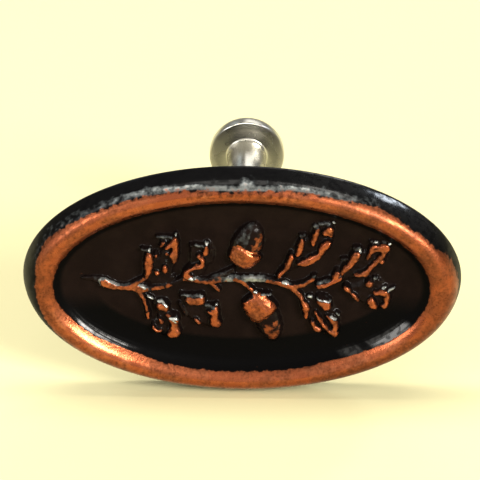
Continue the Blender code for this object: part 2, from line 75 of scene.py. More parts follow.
# Steps of the grid across and up the face, and points round the back.
FACE_ACROSS = 440
FACE_UP = 228
BACK_POINTS = 128

# The sprig in x and z on the face: low leaf blades, high spots with their rise, and stems with
# their half width and the shares of copper and of grey, a painted highlight, that show.
LEAVES = [
    [(-9.57, -0.42), (-10.17, 0.16), (-10.04, 2.04), (-9.91, 3.9), (-9.2, 4.25), (-8.9, 3.79),
     (-8.51, 3.1), (-8.2, 4.03), (-8.28, 5.07), (-7.57, 5.54), (-6.67, 5.9), (-6.17, 5.33),
     (-6.09, 3.71), (-6.31, 2.2), (-6.72, 1.38), (-6.73, 0.32), (-7.45, -0.62), (-8.67, -0.88)],
    [(-4.61, 0), (-5.82, 0.33), (-6.22, 0.92), (-5.61, 1.62), (-5.4, 2.56), (-5.48, 4.07),
     (-5.18, 4.76), (-4.17, 4.89), (-3.27, 5.02), (-2.77, 4.56), (-2.47, 3.52), (-2.58, 2.36),
     (-3.29, 1.65), (-3.6, 0.83)],
    [(-9.3, -2.06), (-8.88, -1.47), (-8.07, -1.69), (-7.27, -2.04), (-7.08, -3.34), (-6.17, -3.8),
     (-6.18, -5.23), (-5.88, -5.95), (-6.3, -6.79), (-7.73, -6.81), (-8.85, -6.22), (-9.35, -5.51),
     (-9.03, -4.31), (-8.51, -4.07), (-9.11, -3.25)],
    [(-6.55, -1.91), (-6.44, -1.2), (-5.23, -1.07), (-3.81, -1.05), (-3.51, -2.23), (-2.4, -2.21),
     (-2.1, -3.28), (-1.8, -5.06), (-2.31, -5.66), (-3.53, -5.56), (-4.65, -5.33), (-5.36, -4.63),
     (-5.86, -3.68), (-6.16, -2.73)],
    [(3.47, 0.45), (3.66, 1.74), (4.56, 3.38), (5.24, 4.89), (6.03, 5.93), (6.54, 5.48),
     (6.73, 6.52), (7.32, 7.21), (8.21, 7.45), (9.31, 7.46), (9.62, 6.66), (9.54, 5.29),
     (9.26, 4.13), (8.38, 2.96), (7.28, 2.13), (5.88, 1.65), (4.88, 1.05), (4.28, 0.23)],
    [(7.11, -0.33), (7.71, 0.38), (8.9, 1.34), (9.89, 2.51), (10.67, 3.68), (11.25, 4.61),
     (12.05, 4.74), (12.47, 4.05), (12.85, 4.98), (13.64, 5.33), (15.14, 5.12), (15.27, 4.08),
     (14.81, 2.57), (14.13, 1.75), (13.14, 1.04), (12.14, 0.56), (10.74, 0.19), (9.54, -0.41),
     (8.13, -0.78)],
    [(5.71, -1.52), (6.41, -1.04), (7.23, -1.38), (7.93, -0.9), (9.25, -1.48), (9.37, -2.54),
     (10.09, -3.12), (10.21, -4.43), (10.14, -6.22), (9.54, -6.71), (8.2, -6), (7.28, -5.9),
     (6.76, -4.71), (6.14, -3.88), (5.82, -2.7)],
    [(10.04, -0.17), (11.14, 0.08), (12.34, 0.56), (13.34, 1.04), (14.15, 0.93), (14.47, 0.12),
     (15.68, 0.13), (15.8, -0.57), (15.32, -1.64), (15.25, -2.82), (14.15, -3.19), (12.83, -3.09),
     (11.8, -2.27), (10.77, -1.46)],
]
HIGH_SPOTS = [
    (1.0, [(-9.52, 3.76), (-9.1, 3.7), (-8.84, 3.01), (-8.94, 2.03), (-9.06, 1.5), (-9.38, 0.83),
        (-9.77, 0.65), (-9.84, 0.95), (-9.67, 1.49), (-9.82, 2.21), (-9.73, 3)]),
    (1.05, [(-6.85, 5.49), (-6.47, 5.61), (-6.3, 4.93), (-6.36, 4.28), (-6.33, 3.7), (-6.42, 3.07),
        (-6.74, 2.37), (-6.89, 2.53), (-7.11, 3.15), (-7.34, 3.44), (-7.21, 3.81), (-6.9, 4.08),
        (-7.1, 4.51), (-7.41, 4.12), (-7.79, 4.21), (-7.64, 4.56), (-7.32, 4.83)]),
    (0.9, [(-8, 2.15), (-7.69, 2.33), (-7.41, 2.04), (-7.4, 1.52), (-7.71, 1.24), (-8.01, 1.45)]),
    (0.8, [(-8.86, 1.44), (-8.56, 1.62), (-8.17, 1.39), (-8.42, 1.08), (-8.76, 1.15)]),
    (0.8, [(-8.79, 3.48), (-8.54, 3.62), (-8.37, 3.32), (-8.53, 3.04), (-8.77, 3.17)]),
    (0.95, [(-3.57, 4.72), (-3.4, 4.72), (-3.3, 4.26), (-3.26, 3.63), (-3.56, 3.36), (-3.91, 3.45),
        (-3.96, 3.85), (-3.76, 4.26)]),
    (1.0, [(-4.52, 3.58), (-4.26, 3.76), (-4.04, 3.35), (-3.7, 3.13), (-3.64, 2.28), (-4.01, 1.88),
        (-4.72, 1.88), (-5.32, 1.52), (-5.13, 1.12), (-4.68, 0.78), (-4.73, 0.5), (-5.33, 0.61),
        (-5.93, 0.88), (-5.93, 1.39), (-5.48, 1.87), (-4.97, 2.22), (-4.41, 2.48), (-4.09, 2.6),
        (-4.2, 2.97), (-4.52, 3.25)]),
    (0.95, [(-8.66, -2.48), (-8.42, -2.12), (-7.95, -1.99), (-7.34, -2.32), (-7.37, -3),
        (-7.74, -3.22), (-8.04, -2.96), (-8.43, -2.99)]),
    (1.05, [(-7.81, -3.4), (-7.35, -3.49), (-6.41, -3.78), (-6.32, -4.29), (-6.51, -4.75),
        (-6.28, -5.28), (-6.13, -5.57), (-6.44, -6.03), (-6.99, -6.22), (-7.46, -6.13),
        (-7.69, -5.77), (-7.38, -5.58), (-7.21, -4.85), (-7.28, -4.31), (-7.6, -3.8)]),
    (0.9, [(-8.52, -3.88), (-8.3, -3.83), (-7.94, -4.35), (-8.01, -4.68), (-8.31, -4.61)]),
    (0.85, [(-9.13, -4.75), (-8.95, -4.8), (-8.71, -5.22), (-8.04, -5.31), (-8.08, -5.6),
        (-8.78, -5.63), (-9.1, -5.2)]),
    (0.95, [(-5.78, -1.54), (-5.31, -1.3), (-4.4, -1.31), (-3.89, -1.14), (-3.71, -1.57),
        (-3.77, -2.22), (-4.41, -2.35), (-5.25, -2.38), (-5.62, -1.96)]),
    (0.75, [(-6.29, -1.2), (-6.08, -1.12), (-6.03, -1.59), (-6.21, -1.62)]),
    (0.8, [(-4.91, -3.89), (-4.69, -3.87), (-4.08, -4.38), (-4.16, -4.72), (-4.57, -4.63)]),
    (1.0, [(-3.62, -3.07), (-3.3, -2.83), (-2.76, -2.35), (-2.36, -2.52), (-2.28, -3.45),
        (-2.36, -3.82), (-2.05, -4.45), (-2.13, -4.84), (-2.69, -4.96), (-3.16, -4.68),
        (-3.24, -3.92), (-3.07, -3.46)]),
    (0.9, [(3.57, 0.78), (3.62, 1.36), (3.87, 1.71), (4.23, 2), (4.45, 2.53), (4.62, 3.06),
        (4.84, 3.66), (5.18, 3.75), (5.28, 3.24), (5.03, 2.73), (4.97, 2.31), (4.67, 1.84),
        (4.23, 1.48), (3.99, 0.97)]),
    (0.95, [(5.36, 3.48), (5.57, 4.72), (5.9, 5.52), (6.16, 5.66), (6.3, 5.04), (6.24, 4.32),
        (5.81, 3.44)]),
    (1.0, [(5.43, 2.67), (6.43, 3.24), (7.15, 3.67), (7.7, 3.97), (7.67, 4.56), (8.38, 5.32),
        (9.02, 5.37), (8.94, 4.79), (8.4, 4.12), (7.99, 3.38), (7.33, 2.77), (6.44, 2.34),
        (5.64, 2.44)]),
    (0.95, [(6.98, 5.48), (7.21, 6.29), (7.42, 6.75), (7.78, 6.94), (7.82, 6.3), (7.58, 5.56),
        (7.35, 4.75), (7.05, 4.65), (6.88, 5.09)]),
    (0.95, [(7.99, 6.18), (8.51, 6.99), (9.08, 7.13), (9.22, 6.4), (9.01, 5.62), (8.53, 5.94),
        (8.17, 5.84)]),
    (0.85, [(9.11, 0.93), (9.23, 1.46), (9.54, 1.83), (9.9, 1.72), (9.87, 1.29), (9.75, 0.82),
        (9.31, 0.75)]),
    (1.0, [(9.93, 1.85), (10.29, 2.37), (10.63, 2.67), (10.87, 3.25), (11.16, 3.95), (11.49, 4.27),
        (11.96, 4.03), (11.89, 3.42), (11.48, 2.75), (11.03, 2.21), (10.64, 1.85), (10.3, 1.52),
        (10.05, 1.19), (9.98, 1.54)]),
    (0.95, [(7.37, 0.1), (7.86, 0.27), (8.51, 0.57), (9.11, 0.87), (9.61, 0.97), (10.01, 1.28),
        (10.25, 1.33), (10.19, 0.86), (9.72, 0.51), (9.02, 0.17), (8.32, -0.19), (7.72, -0.31)]),
    (0.95, [(12.49, 3.36), (12.7, 3.9), (12.8, 4.58), (13.06, 4.98), (13.44, 4.94), (13.69, 4.73),
        (14.28, 5.13), (14.98, 4.8), (14.87, 4.17), (14.5, 3.95), (14.39, 3.43), (13.98, 3.14),
        (13.65, 2.58), (13.06, 2.09), (12.97, 1.67), (12.5, 1.08), (12.12, 1.28), (11.65, 1.15),
        (11.19, 1.4), (11.81, 1.69), (12.29, 1.9), (12.74, 2.32), (13.24, 2.97), (13.63, 3.37),
        (13.92, 3.79), (14.01, 4.18), (13.75, 4.19), (13.41, 4.12), (13.1, 3.84), (12.87, 3.42),
        (12.64, 3.06)]),
    (0.8, [(12.37, 0.22), (12.82, 0.69), (13.32, 0.56), (13.21, -0.01), (12.71, -0.11)]),
    (0.85, [(10.18, -0.06), (10.57, 0.08), (10.96, -0.17), (11.15, -0.61), (11.72, -1.08),
        (11.96, -1.61), (11.76, -1.81), (11.31, -1.36), (10.89, -0.76), (10.39, -0.47)]),
    (0.95, [(12.67, -1.76), (12.98, -1.2), (13.34, -1.2), (13.62, -1.82), (13.82, -2.33),
        (13.69, -2.64), (13.13, -2.51), (12.73, -2.02)]),
    (0.95, [(13.24, -0.55), (13.81, -0.3), (14.42, -0.27), (14.87, -0.51), (15.03, -1.16),
        (14.87, -1.97), (14.8, -2.34), (14.29, -2.52), (13.96, -2.24), (14.25, -1.93),
        (14.42, -1.64), (14.35, -1.17), (14.18, -0.94), (13.71, -0.9), (13.31, -0.9)]),
    (0.9, [(5.88, -1.19), (6.15, -1.3), (6.4, -1.77), (6.94, -2.37), (6.95, -2.71), (6.8, -3.04),
        (6.8, -3.14), (6.76, -3.68), (6.53, -3.95), (6.34, -3.69), (6.29, -3.03), (6.17, -2.79),
        (6.07, -2.21)]),
    (1.05, [(7.56, -1.31), (7.99, -1.24), (8.51, -1.35), (9.01, -1.73), (9.07, -2.59),
        (8.63, -2.8), (8.2, -2.57), (7.66, -2.02)]),
    (0.95, [(8.47, -3.32), (9.08, -3.43), (9.59, -3.74), (9.86, -4.54), (9.88, -5.61),
        (9.62, -5.98), (9.11, -5.74), (8.49, -5.09), (7.97, -4.39), (7.58, -3.62), (7.35, -2.96),
        (7.59, -2.86), (7.96, -3.52), (8.38, -4.2), (8.9, -4.91), (9.25, -5.1), (9.19, -4.49),
        (8.83, -3.9)]),
    (0.9, [(6.97, -3.93), (7.33, -3.96), (7.51, -4.43), (7.78, -4.75), (8.17, -5.06),
        (8.07, -5.39), (7.61, -5.4), (7.25, -5.03), (7.03, -4.42)]),
    (0.75, [(-8.3, 4.35), (-8.05, 4.95), (-7.6, 5.05), (-7.72, 4.62), (-8.0, 4.3)]),
    (0.75, [(-7.75, 3.4), (-7.6, 3.85), (-7.35, 3.65), (-7.4, 3.3)]),
    (0.9, [(13.84, 3.16), (14.22, 3.26), (14.41, 2.84), (14.09, 2.63), (13.83, 2.81)]),
]
STEMS = [
    (0.5, [(-16.2, 0.57, 0.03, 0, 0), (-15.5, 0.56, 0.1, 0, 0.2), (-14.98, 0.5, 0.2, 0, 0.3),
        (-14.28, 0.32, 0.38, 0.8, 0.7)]),
    (0.9, [(-13.93, 0.13, 0.47, 0.95, 1.1), (-13.28, -0.18, 0.4, 1, 1.3),
        (-12.58, -0.34, 0.26, 1, 1.2), (-12.22, -0.36, 0.24, 1, 0.5), (-11.57, -0.4, 0.26, 1, 0.6),
        (-11.06, -0.32, 0.44, 1, 0.5), (-10.56, -0.53, 0.4, 1, 0.6), (-10.1, -0.57, 0.34, 1, 1.4),
        (-9.75, -0.56, 0.3, 1, 0.8), (-9.35, -0.51, 0.23, 0.3, 0.3),
        (-9.14, -0.44, 0.22, 0.1, 0.1), (-8.84, -0.39, 0.24, 0.9, 0.1),
        (-8.13, -0.28, 0.26, 0.95, 0.1), (-7.77, -0.19, 0.22, 0.3, 0.1),
        (-7.42, -0.09, 0.24, 0.85, 0.1), (-7.07, 0.08, 0.21, 0.5, 0.1), (-6.71, 0.23, 0.2, 0, 0.1),
        (-6, 0.66, 0.22, 0, 0.1), (-5.7, 0.8, 0.24, 0.9, 0.1), (-5.29, 0.67, 0.25, 0.95, 1.1),
        (-4.89, 0.62, 0.25, 0.95, 1.2), (-4.49, 0.49, 0.24, 0.6, 0.5),
        (-3.58, 0.38, 0.24, 0.6, 0.5), (-2.77, 0.51, 0.26, 0.6, 0.6),
        (-1.97, 0.66, 0.27, 0.45, 0.7), (-1.26, 0.72, 0.28, 0.25, 1), (-0.1, 0.75, 0.28, 0.2, 0.8),
        (1.06, 0.77, 0.3, 0.1, 1.1), (2.06, 0.76, 0.28, 0.2, 1), (2.67, 0.65, 0.27, 0.5, 0.5),
        (3.88, 0.31, 0.26, 0.9, 0.4), (4.43, 0.13, 0.28, 0.9, 1.4), (4.99, -0.14, 0.3, 0.95, 0.2),
        (5.81, -0.96, 0.28, 0.75, 0.1), (6.22, -1.77, 0.2, 0.5, 0.1)]),
    (0.85, [(-10.96, -0.02, 0.26, 0.95, 0.2), (-10.24, 0.41, 0.18, 0.85, 0.2),
        (-9.63, 0.82, 0.22, 0.8, 0.1)]),
    (0.7, [(-7.47, 0.24, 0.2, 0.3, 0), (-6.95, 0.81, 0.2, 0.7, 0)]),
    (0.8, [(-10.47, -0.75, 0.24, 0.85, 0), (-9.98, -1.57, 0.22, 0.8, 0),
        (-9.69, -2.63, 0.18, 0.75, 0), (-9.55, -3.45, 0.28, 0.9, 0),
        (-9.52, -3.86, 0.22, 0.85, 0)]),
    (0.85, [(-3.58, 0.42, 0.24, 0.5, 0.4), (-2.37, 0.91, 0.28, 0.4, 0.5),
        (-1.46, 1.45, 0.28, 0.15, 0.5), (-0.86, 1.81, 0.22, 0, 0.3)]),
    (0.8, [(-3.28, 0.33, 0.2, 0.7, 0.1), (-2.78, -0.07, 0.18, 0.8, 0),
        (-2.28, -0.6, 0.18, 0.85, 0)]),
    (0.9, [(-0.66, 0.84, 0.24, 0.8, 0.2), (0.25, 0.31, 0.24, 0.95, 0.1),
        (1.06, -0.54, 0.18, 0.6, 0.1), (1.46, -1.25, 0.18, 0.8, 0.3)]),
    (0.85, [(5.19, -0.12, 0.26, 0.9, 0.1), (6.3, 0.17, 0.26, 0.85, 0.2),
        (7.24, 0.88, 0.23, 0.7, 0.3)]),
    (0.7, [(-6.24, -2.29, 0.16, 0.2, 0), (-5.64, -3.52, 0.18, 0.35, 0)]),
]
# Painted highlights: pale marks on the edges that stand out, where glints fall: from, to, half
# width and how pale.
HIGHLIGHT_MARKS = [
    (-9.98, 4.04, -9.48, 3.93, 0.21, 0.6), (-9.26, 3.99, -9.24, 3.91, 0.16, 1.4),
    (-8.45, 5.49, -7.05, 5.45, 0.19, 0.6), (-6.55, 5.85, -6.59, 5.76, 0.14, 1.15),
    (-7.59, 2.67, -7.55, 2.65, 0.16, 0.55), (-5.11, 4.56, -4.96, 4.51, 0.16, 0.6),
    (-4.66, 4.56, -3.86, 4.46, 0.21, 0.65), (-3.6, 4.83, -3.44, 4.83, 0.16, 1.4),
    (-9.5, -1.42, -8.98, -1.74, 0.14, 1.4), (-8.51, -2.02, -8.05, -1.9, 0.14, 1.25),
    (-8.05, -1.9, -7.6, -2.42, 0.14, 1.35), (-7.27, -3.78, -6.66, -3.83, 0.16, 1.45),
    (-6.96, -4.02, -6.61, -4.23, 0.1, 1.3), (-6.57, -3.65, -6.45, -3.95, 0.1, 0.8),
    (-6.02, -1.24, -4.4, -1.24, 0.16, 0.75), (-4.18, -1.21, -4.04, -1.25, 0.15, 1.3),
    (-3.6, -2.43, -2.79, -2.56, 0.21, 0.7), (-2.61, -2.28, -2.51, -2.28, 0.14, 1.1),
    (5.93, 5.78, 6.23, 5.78, 0.21, 0.6), (7.27, 6.93, 7.52, 6.89, 0.25, 0.65),
    (7.81, 7.17, 8.71, 7.2, 0.2, 0.65), (9.14, 7.3, 9.24, 7.27, 0.15, 1.35),
    (11.35, 4.41, 11.75, 4.46, 0.25, 0.7), (11.85, 4.3, 11.96, 4.02, 0.13, 1.35),
    (12.93, 5.23, 13.03, 5.19, 0.21, 0.55), (13.41, 5.17, 13.55, 5.15, 0.15, 1.35),
    (14.13, 5.25, 14.33, 5.23, 0.2, 0.55), (14.79, 5.02, 14.89, 4.96, 0.14, 1.4),
    (10.07, 3.07, 10.52, 3.17, 0.16, 0.5), (7.7, 0.37, 8.91, 0.76, 0.18, 0.65),
    (7.19, 1.11, 7.39, 1.18, 0.2, 0.5), (6.78, -1.26, 7.02, -1.31, 0.21, 1.45),
    (7.63, -1.35, 8.95, -1.66, 0.12, 1.15), (9.08, -3.5, 9.59, -3.8, 0.13, 1.4),
    (9.63, -3.14, 9.87, -3.45, 0.15, 0.95), (13.41, 0.95, 13.61, 0.91, 0.17, 0.95),
    (14.26, -0.16, 14.56, -0.04, 0.15, 1), (14.82, -0.48, 15.37, -0.15, 0.16, 1.1),
    (1.32, -0.72, 1.5, -0.77, 0.14, 1.1), (2.07, -0.95, 2.93, -1.01, 0.12, 1),
    (-10.15, -0.23, -9.75, -0.41, 0.13, 1.1), (-5.19, 0.86, -4.99, 0.82, 0.15, 1.4),
    (4.23, 0.42, 4.48, 0.26, 0.17, 1.3),
]
# Acorns: foot of the cup, direction of cup and nut in degrees, and the lengths of both.
ACORNS = [
    ((-0.5, 2.25), 56.0, 71.0, 2.35, 3.2),
    ((0.75, -1.2), -53.0, -74.0, 2.95, 3.3),
]
# Share of the length, half width and height over the floor.
CUP_SECTIONS = [
    (0.0, 0.7, 0.4), (0.04, 1.0, 0.66), (0.12, 1.3, 0.92), (0.25, 1.5, 1.1), (0.5, 1.66, 1.28),
    (0.78, 1.7, 1.37), (0.88, 1.68, 1.38), (1.0, 1.56, 1.08),
]
NUT_SECTIONS = [
    [(-0.12, 1.5, 1.0), (0.08, 1.68, 1.08), (0.3, 1.6, 1.12), (0.52, 1.4, 1.04),
     (0.72, 1.12, 0.88), (0.84, 0.86, 0.7), (0.93, 0.54, 0.5), (0.98, 0.25, 0.34),
     (1.0, 0.1, 0.3)],
    [(-0.12, 1.25, 0.95), (0.08, 1.34, 1.04), (0.3, 1.36, 1.08), (0.52, 1.26, 0.98),
     (0.72, 1.0, 0.8), (0.84, 0.72, 0.62), (0.92, 0.42, 0.46), (0.97, 0.2, 0.36),
     (1.0, 0.08, 0.3)],
]


# The sprig's height over the floor.


# How far the bevel above each high spot reaches up the face.
CAP_REACH = 0.29
# The grey of a stem, a painted highlight on its upper side, lies a little above its line, and its
# copper a little below.
GREY_LIFT = 0.02
COPPER_LIFT = -0.13
# How far the upper nut sits to the left of the end of its cup.
NUT_SHIFT = 0.42


def cut_corners(outline, rounds):
    """The outline with its corners cut again and again, so that it runs in curves."""
    for _ in range(rounds):
        curve = []
        for (ax, az), (bx, bz) in zip(outline, outline[1:] + outline[:1]):
            curve.append((0.78 * ax + 0.22 * bx, 0.78 * az + 0.22 * bz))
            curve.append((0.22 * ax + 0.78 * bx, 0.22 * az + 0.78 * bz))
        outline = curve
    return outline


def depth_inside(outline, x, z):
    """How far each place lies inside the outline, negative outside."""
    nearest = np.full(x.shape, 1e3)
    inside = np.zeros(x.shape, bool)
    for (ax, az), (bx, bz) in zip(outline, outline[1:] + outline[:1]):
        ex, ez = bx - ax, bz - az
        along = np.clip(((x - ax) * ex + (z - az) * ez) / (ex * ex + ez * ez + 1e-12), 0, 1)
        nearest = np.minimum(nearest, np.hypot(x - ax - along * ex, z - az - along * ez))
        if ez:
            inside ^= ((az > z) != (bz > z)) & (x < ax + ex * (z - az) / ez)
    return np.where(inside, nearest, -nearest)


def along_line(ax, az, bx, bz, x, z):
    """Each place's share of the way along a line, and its distance from the line."""
    ex, ez = bx - ax, bz - az
    px, pz = x - ax, z - az
    along = np.clip((px * ex + pz * ez) / (ex * ex + ez * ez), 0, 1)
    return along, np.hypot(px - along * ex, pz - along * ez)


def near(points, x, z, margin):
    """Which places lie in a box round the points."""
    (left, bottom), (right, top) = np.min(points, axis=0), np.max(points, axis=0)
    return (x > left - margin) & (x < right + margin) & (z > bottom - margin) & (z < top + margin)


def ease(value):
    """A step from 0 to 1, with a gentle start and end."""
    value = np.clip(value, 0, 1)
    return value * value * (3 - 2 * value)


def raise_to(field, here, value):
    """Lifts a field to a value wherever it lies lower."""
    field[here] = np.maximum(field[here], value)


def add_leaves(x, z, height, polish, grey):
    """Blades that rise steeply at their upper side and fade into the floor below."""
    for outline in LEAVES:
        curve = cut_corners(outline, 2)
        here = near(curve, x, z, 0.2)
        px, pz = x[here], z[here]
        depth = depth_inside(curve, px, pz)
        below = depth_inside(curve, px, pz - 0.45)
        blade = 0.36 * ease((depth + 0.1) / 0.6) * ease((below + 0.25) / 0.75)
        ripple = 0.06 * np.sin(7 * px + 3 * pz)
        blade += ripple * np.sin(5 * pz - 4 * px) * ease(depth / 0.4)
        raise_to(height, here, np.where(depth > -0.1, blade, 0))


def above_outline(curve, x, z, reach):
    """How far each place lies above the outline's upper side, and reach or more elsewhere."""
    away = np.full(x.shape, 1e3)
    for step in range(11):
        shift = reach * step / 10
        outside = np.maximum(-depth_inside(curve, x, z - shift), 0)
        away = np.minimum(away, shift + 3.5 * outside)
    return away


def add_high_spots(x, z, height, polish, grey):
    """Buffed lobes, each with a bevel above its copper, faintly painted grey as a highlight, that
    falls to a steep black foot.
    """
    for rise, outline in HIGH_SPOTS:
        curve = cut_corners(outline, 2)
        here = near(curve, x, z, 0.6)
        px, pz = x[here], z[here]
        depth = depth_inside(curve, px, pz)
        above = above_outline(curve, px, pz, CAP_REACH)
        dome = np.sqrt(1 - (1 - np.clip(depth / 0.5, 0, 1)) ** 2)
        lump = rise * (0.72 + 0.28 * dome + 0.05 * np.sin(3.1 * px) * np.cos(2.7 * pz))
        lump = lump * (1 - 0.62 * np.clip(above / CAP_REACH, 0, 1))
        lump = lump * ease((CAP_REACH + 0.1 - above) / 0.1)
        raise_to(height, here, lump)
        raise_to(polish, here, ease((np.maximum(depth, 0.05 - above) + 0.09) / 0.27))
        # Painted highlight: a faint grey on the bevel above the copper.
        cap = ease((CAP_REACH + 0.05 - above) / 0.1) * ease((0.04 - depth) / 0.12)
        raise_to(grey, here, 0.18 * cap)


def add_highlight_marks(x, z, height, polish, grey):
    """Small crests along the edges of the leaves, painted pale as highlights."""
    for ax, az, bx, bz, half, pale in HIGHLIGHT_MARKS:
        here = near([(ax, az), (bx, bz)], x, z, half + 0.2)
        away = along_line(ax, az, bx, bz, x[here], z[here])[1] / half
        # The thinnest marks run along a crest, and the others beside one.
        rise = 0.9 if half < 0.13 else 0.62
        raise_to(height, here, rise * np.sqrt(np.clip(1.2 - away**2, 0, 1)))
        # Painted highlight: pale grey along the mark.
        raise_to(grey, here, 0.9 * pale * ease((1.05 - away) / 0.5))
        polish[here] = polish[here] * (1 - min(pale, 1) * ease((1.1 - away) / 0.4))


def add_stems(x, z, height, polish, grey):
    """Round-backed stems, with copper on their lower side and a painted grey highlight on the
    upper.
    """
    for rise, points in STEMS:
        for (ax, az, a_half, *first), (bx, bz, b_half, *last) in zip(points, points[1:]):
            here = near([(ax, az), (bx, bz)], x, z, max(a_half, b_half) + 0.4)
            for lift in (COPPER_LIFT, GREY_LIFT):
                along, away = along_line(ax, az, bx, bz, x[here], z[here] - lift)
                away = away / (a_half + (b_half - a_half) * along + 0.06)
                raise_to(height, here, 0.72 * rise * np.sqrt(np.clip(1 - away**2.6, 0, 1)))
                if lift == GREY_LIFT:
                    # Painted highlight: grey along the stem's upper side.
                    pale = first[1] + (last[1] - first[1]) * along
                    raise_to(grey, here, 0.8 * pale * ease((1.3 - away) / 0.4))
                else:
                    copper = first[0] + (last[0] - first[0]) * along
                    raise_to(polish, here, copper * ease((1.05 - away) / 0.35))


def half_round(x, z, foot, direction, length, sections):
    """Height of a body that lies half sunk in the floor, and its place along and across it."""
    turn = math.radians(direction)
    px, pz = x - foot[0], z - foot[1]
    along = (px * math.cos(turn) + pz * math.sin(turn)) / length
    across = pz * math.cos(turn) - px * math.sin(turn)
    shares = [s[0] for s in sections]
    half = np.interp(along, shares, [s[1] for s in sections], left=0.001, right=0.001)
    high = np.interp(along, shares, [s[2] for s in sections], left=0, right=0)
    side = np.clip(np.abs(across) / half, 0, 1)
    return high * np.sqrt(1 - side**2.2), along, across, side


def upper_nut(x, z, along, across, side):
    """Patches of copper on the nut's right half, and a painted grey reflection on its left."""
    patch = 0.5 + 0.5 * np.sin(5.3 * x + 2.6 * z + 0.6) * np.sin(4.7 * z - 1.9 * x + 1.0)
    patch = patch + 0.25 * np.sin(9.1 * x - 6.3 * z)
    shine = (0.22 + 0.62 * patch) * ease((-across - 0.05) / 0.35)
    shine = shine * ease((0.99 - side) / 0.1) * ease((0.8 - along) / 0.15)
    # Painted reflection: grey on the nut's left, where light would shine off it.
    painted_sheen = (0.34 + 0.2 * patch) * ease((across + 0.15) / 0.4)
    return shine, painted_sheen * ease((0.98 - side) / 0.15)


def lower_nut(along, across, side):
    """Browned copper on the lower nut."""
    shine = 0.56 * ease((0.92 - side) / 0.3) * ease((along - 0.1) / 0.15)
    return shine * ease((across + 0.95 - 0.3 * along) / 0.3)


def add_acorns(x, z, height, polish, grey):
    """Scaly cups with smooth nuts: the upper nut mostly black, the lower one browned."""
    for number, (foot, cup_turn, nut_turn, cup_length, nut_length) in enumerate(ACORNS):
        turn = math.radians(cup_turn)
        shift = 0.0 if number else NUT_SHIFT
        rim_x = foot[0] - shift + cup_length * math.cos(turn)
        rim = (rim_x, foot[1] + cup_length * math.sin(turn))
        cup, along, across, side = half_round(x, z, foot, cup_turn, cup_length, CUP_SECTIONS)
        wave = 9 * along * cup_length
        scales = np.sin(wave + 7 * across) * np.sin(wave - 7 * across)
        cup = np.where(cup > 0.2, cup + 0.016 * scales, cup)
        sections = NUT_SECTIONS[number]
        nut, *nut_place = half_round(x, z, rim, nut_turn, nut_length, sections)
        raise_to(height, ..., np.maximum(cup, nut))
        cup_shine = ease((0.97 - side) / 0.2) * ease((along - 0.06) / 0.08) * (along < 1.0)
        outside = (along > 1.0) & (nut_place[0] < 0.97)
        if number:
            nut_shine, painted_sheen = lower_nut(*nut_place), 0.0
        else:
            nut_shine, painted_sheen = upper_nut(x, z, *nut_place)
        raise_to(polish, ..., np.maximum(cup_shine, nut_shine * outside))
        # The upper nut's painted grey reflection.
        raise_to(grey, ..., painted_sheen * outside)


def half_axes(inward):
    """Half the oval's length and height at a distance in."""
    return HALF_LENGTH - inward * RIM_X, HALF_HEIGHT - inward * RIM_Z


def distance_in(x, z):
    """How far in from the back's edge the oval lies that runs through each place."""
    low = np.zeros_like(x)
    high = np.full_like(x, 13.0)
    for _ in range(24):
        middle = (low + high) / 2
        half_x, half_z = half_axes(middle)
        outside = (x / half_x) ** 2 + (z / half_z) ** 2 > 1
        high = np.where(outside, middle, high)
        low = np.where(outside, low, middle)
    return low


def soften(field, passes):
    """A grid of values, each drawn towards its four neighbours."""
    for _ in range(passes):
        field[1:-1, 1:-1] = (
            4 * field[1:-1, 1:-1] + field[:-2, 1:-1] + field[2:, 1:-1]
            + field[1:-1, :-2] + field[1:-1, 2:]
        ) / 8
    return field


# The knob.


# Copper on the bead: the turn round the oval in degrees, and how far in it begins there.
COPPER_FROM = [
    (0, 0.3), (15, 0.41), (20, 0.55), (25, 0.88), (37, 0.95), (45, 0.75), (51, 0.68), (61, 1.0),
    (75, 1.1), (85, 1.3), (93, 1.43), (103, 1.1), (117, 0.9), (130, 0.9), (146, 0.73), (154, 0.62),
    (160, 0.72), (171, 1.2), (178, 1.43), (190, 1.45), (200, 1.2), (215, 0.9), (225, 0.6),
    (270, 0.45), (315, 0.45), (360, 0.3),
]
# How dull the copper is by turn: on the outer half of the bead, and on the inner half.
DULL_OUTSIDE = [
    (0, 0.75), (35, 0.66), (60, 0.5), (76, 0.25), (86, 0.7), (98, 0.75), (106, 0.35), (115, 0.3),
    (135, 0.5), (160, 0.6), (180, 0.85), (200, 0.8), (225, 0.5), (250, 0.4), (280, 0.45),
    (298, 0.85), (322, 1.0), (345, 0.9), (360, 0.8),
]
DULL_INSIDE = [
    (0, 0.7), (40, 0.7), (60, 0.65), (80, 0.5), (110, 0.52), (135, 0.6), (160, 0.62), (180, 0.75),
    (190, 0.6), (203, 0.0), (226, 0.0), (236, 0.2), (243, 0.7), (255, 0.5), (290, 0.5),
    (305, 0.3), (318, 0.15), (332, 0.45), (345, 0.75), (360, 0.8),
]
# Where the outer edge is scuffed grey, the grey partly a painted reflection of the light above, by
# turn.
SCUFF_AND_SHEEN_BY_TURN = [
    (0, 0), (40, 0.0), (55, 0.45), (70, 0.72), (90, 0.82), (108, 0.74), (122, 0.6), (140, 0.4),
    (160, 0.4), (185, 0.2), (210, 0.0), (360, 0),
]
# Scuffs, partly painted reflections, that reach out over the black wall: turn, half width in
# degrees, how pale.
SCUFF_AND_SHEEN_SPOTS = [
    (88.5, 2.6, 0.6), (82.5, 1.1, 0.5), (116.0, 0.7, 0.6), (97, 0.8, 0.3), (68, 1.2, 0.4),
]
# Where the bead's copper ends at the cove, and how wide it fades.
COPPER_TO = 3.22
COPPER_FADE = 0.34


def by_turn(table, turn):
    """What a table says at each turn."""
    return np.interp(turn, [row[0] for row in table], [row[1] for row in table])


def within(turn, middle, half, soft):
    """1 round the middle of a stretch of turns, easing to 0 at its ends."""
    return ease((half - np.abs(turn - middle)) / soft)


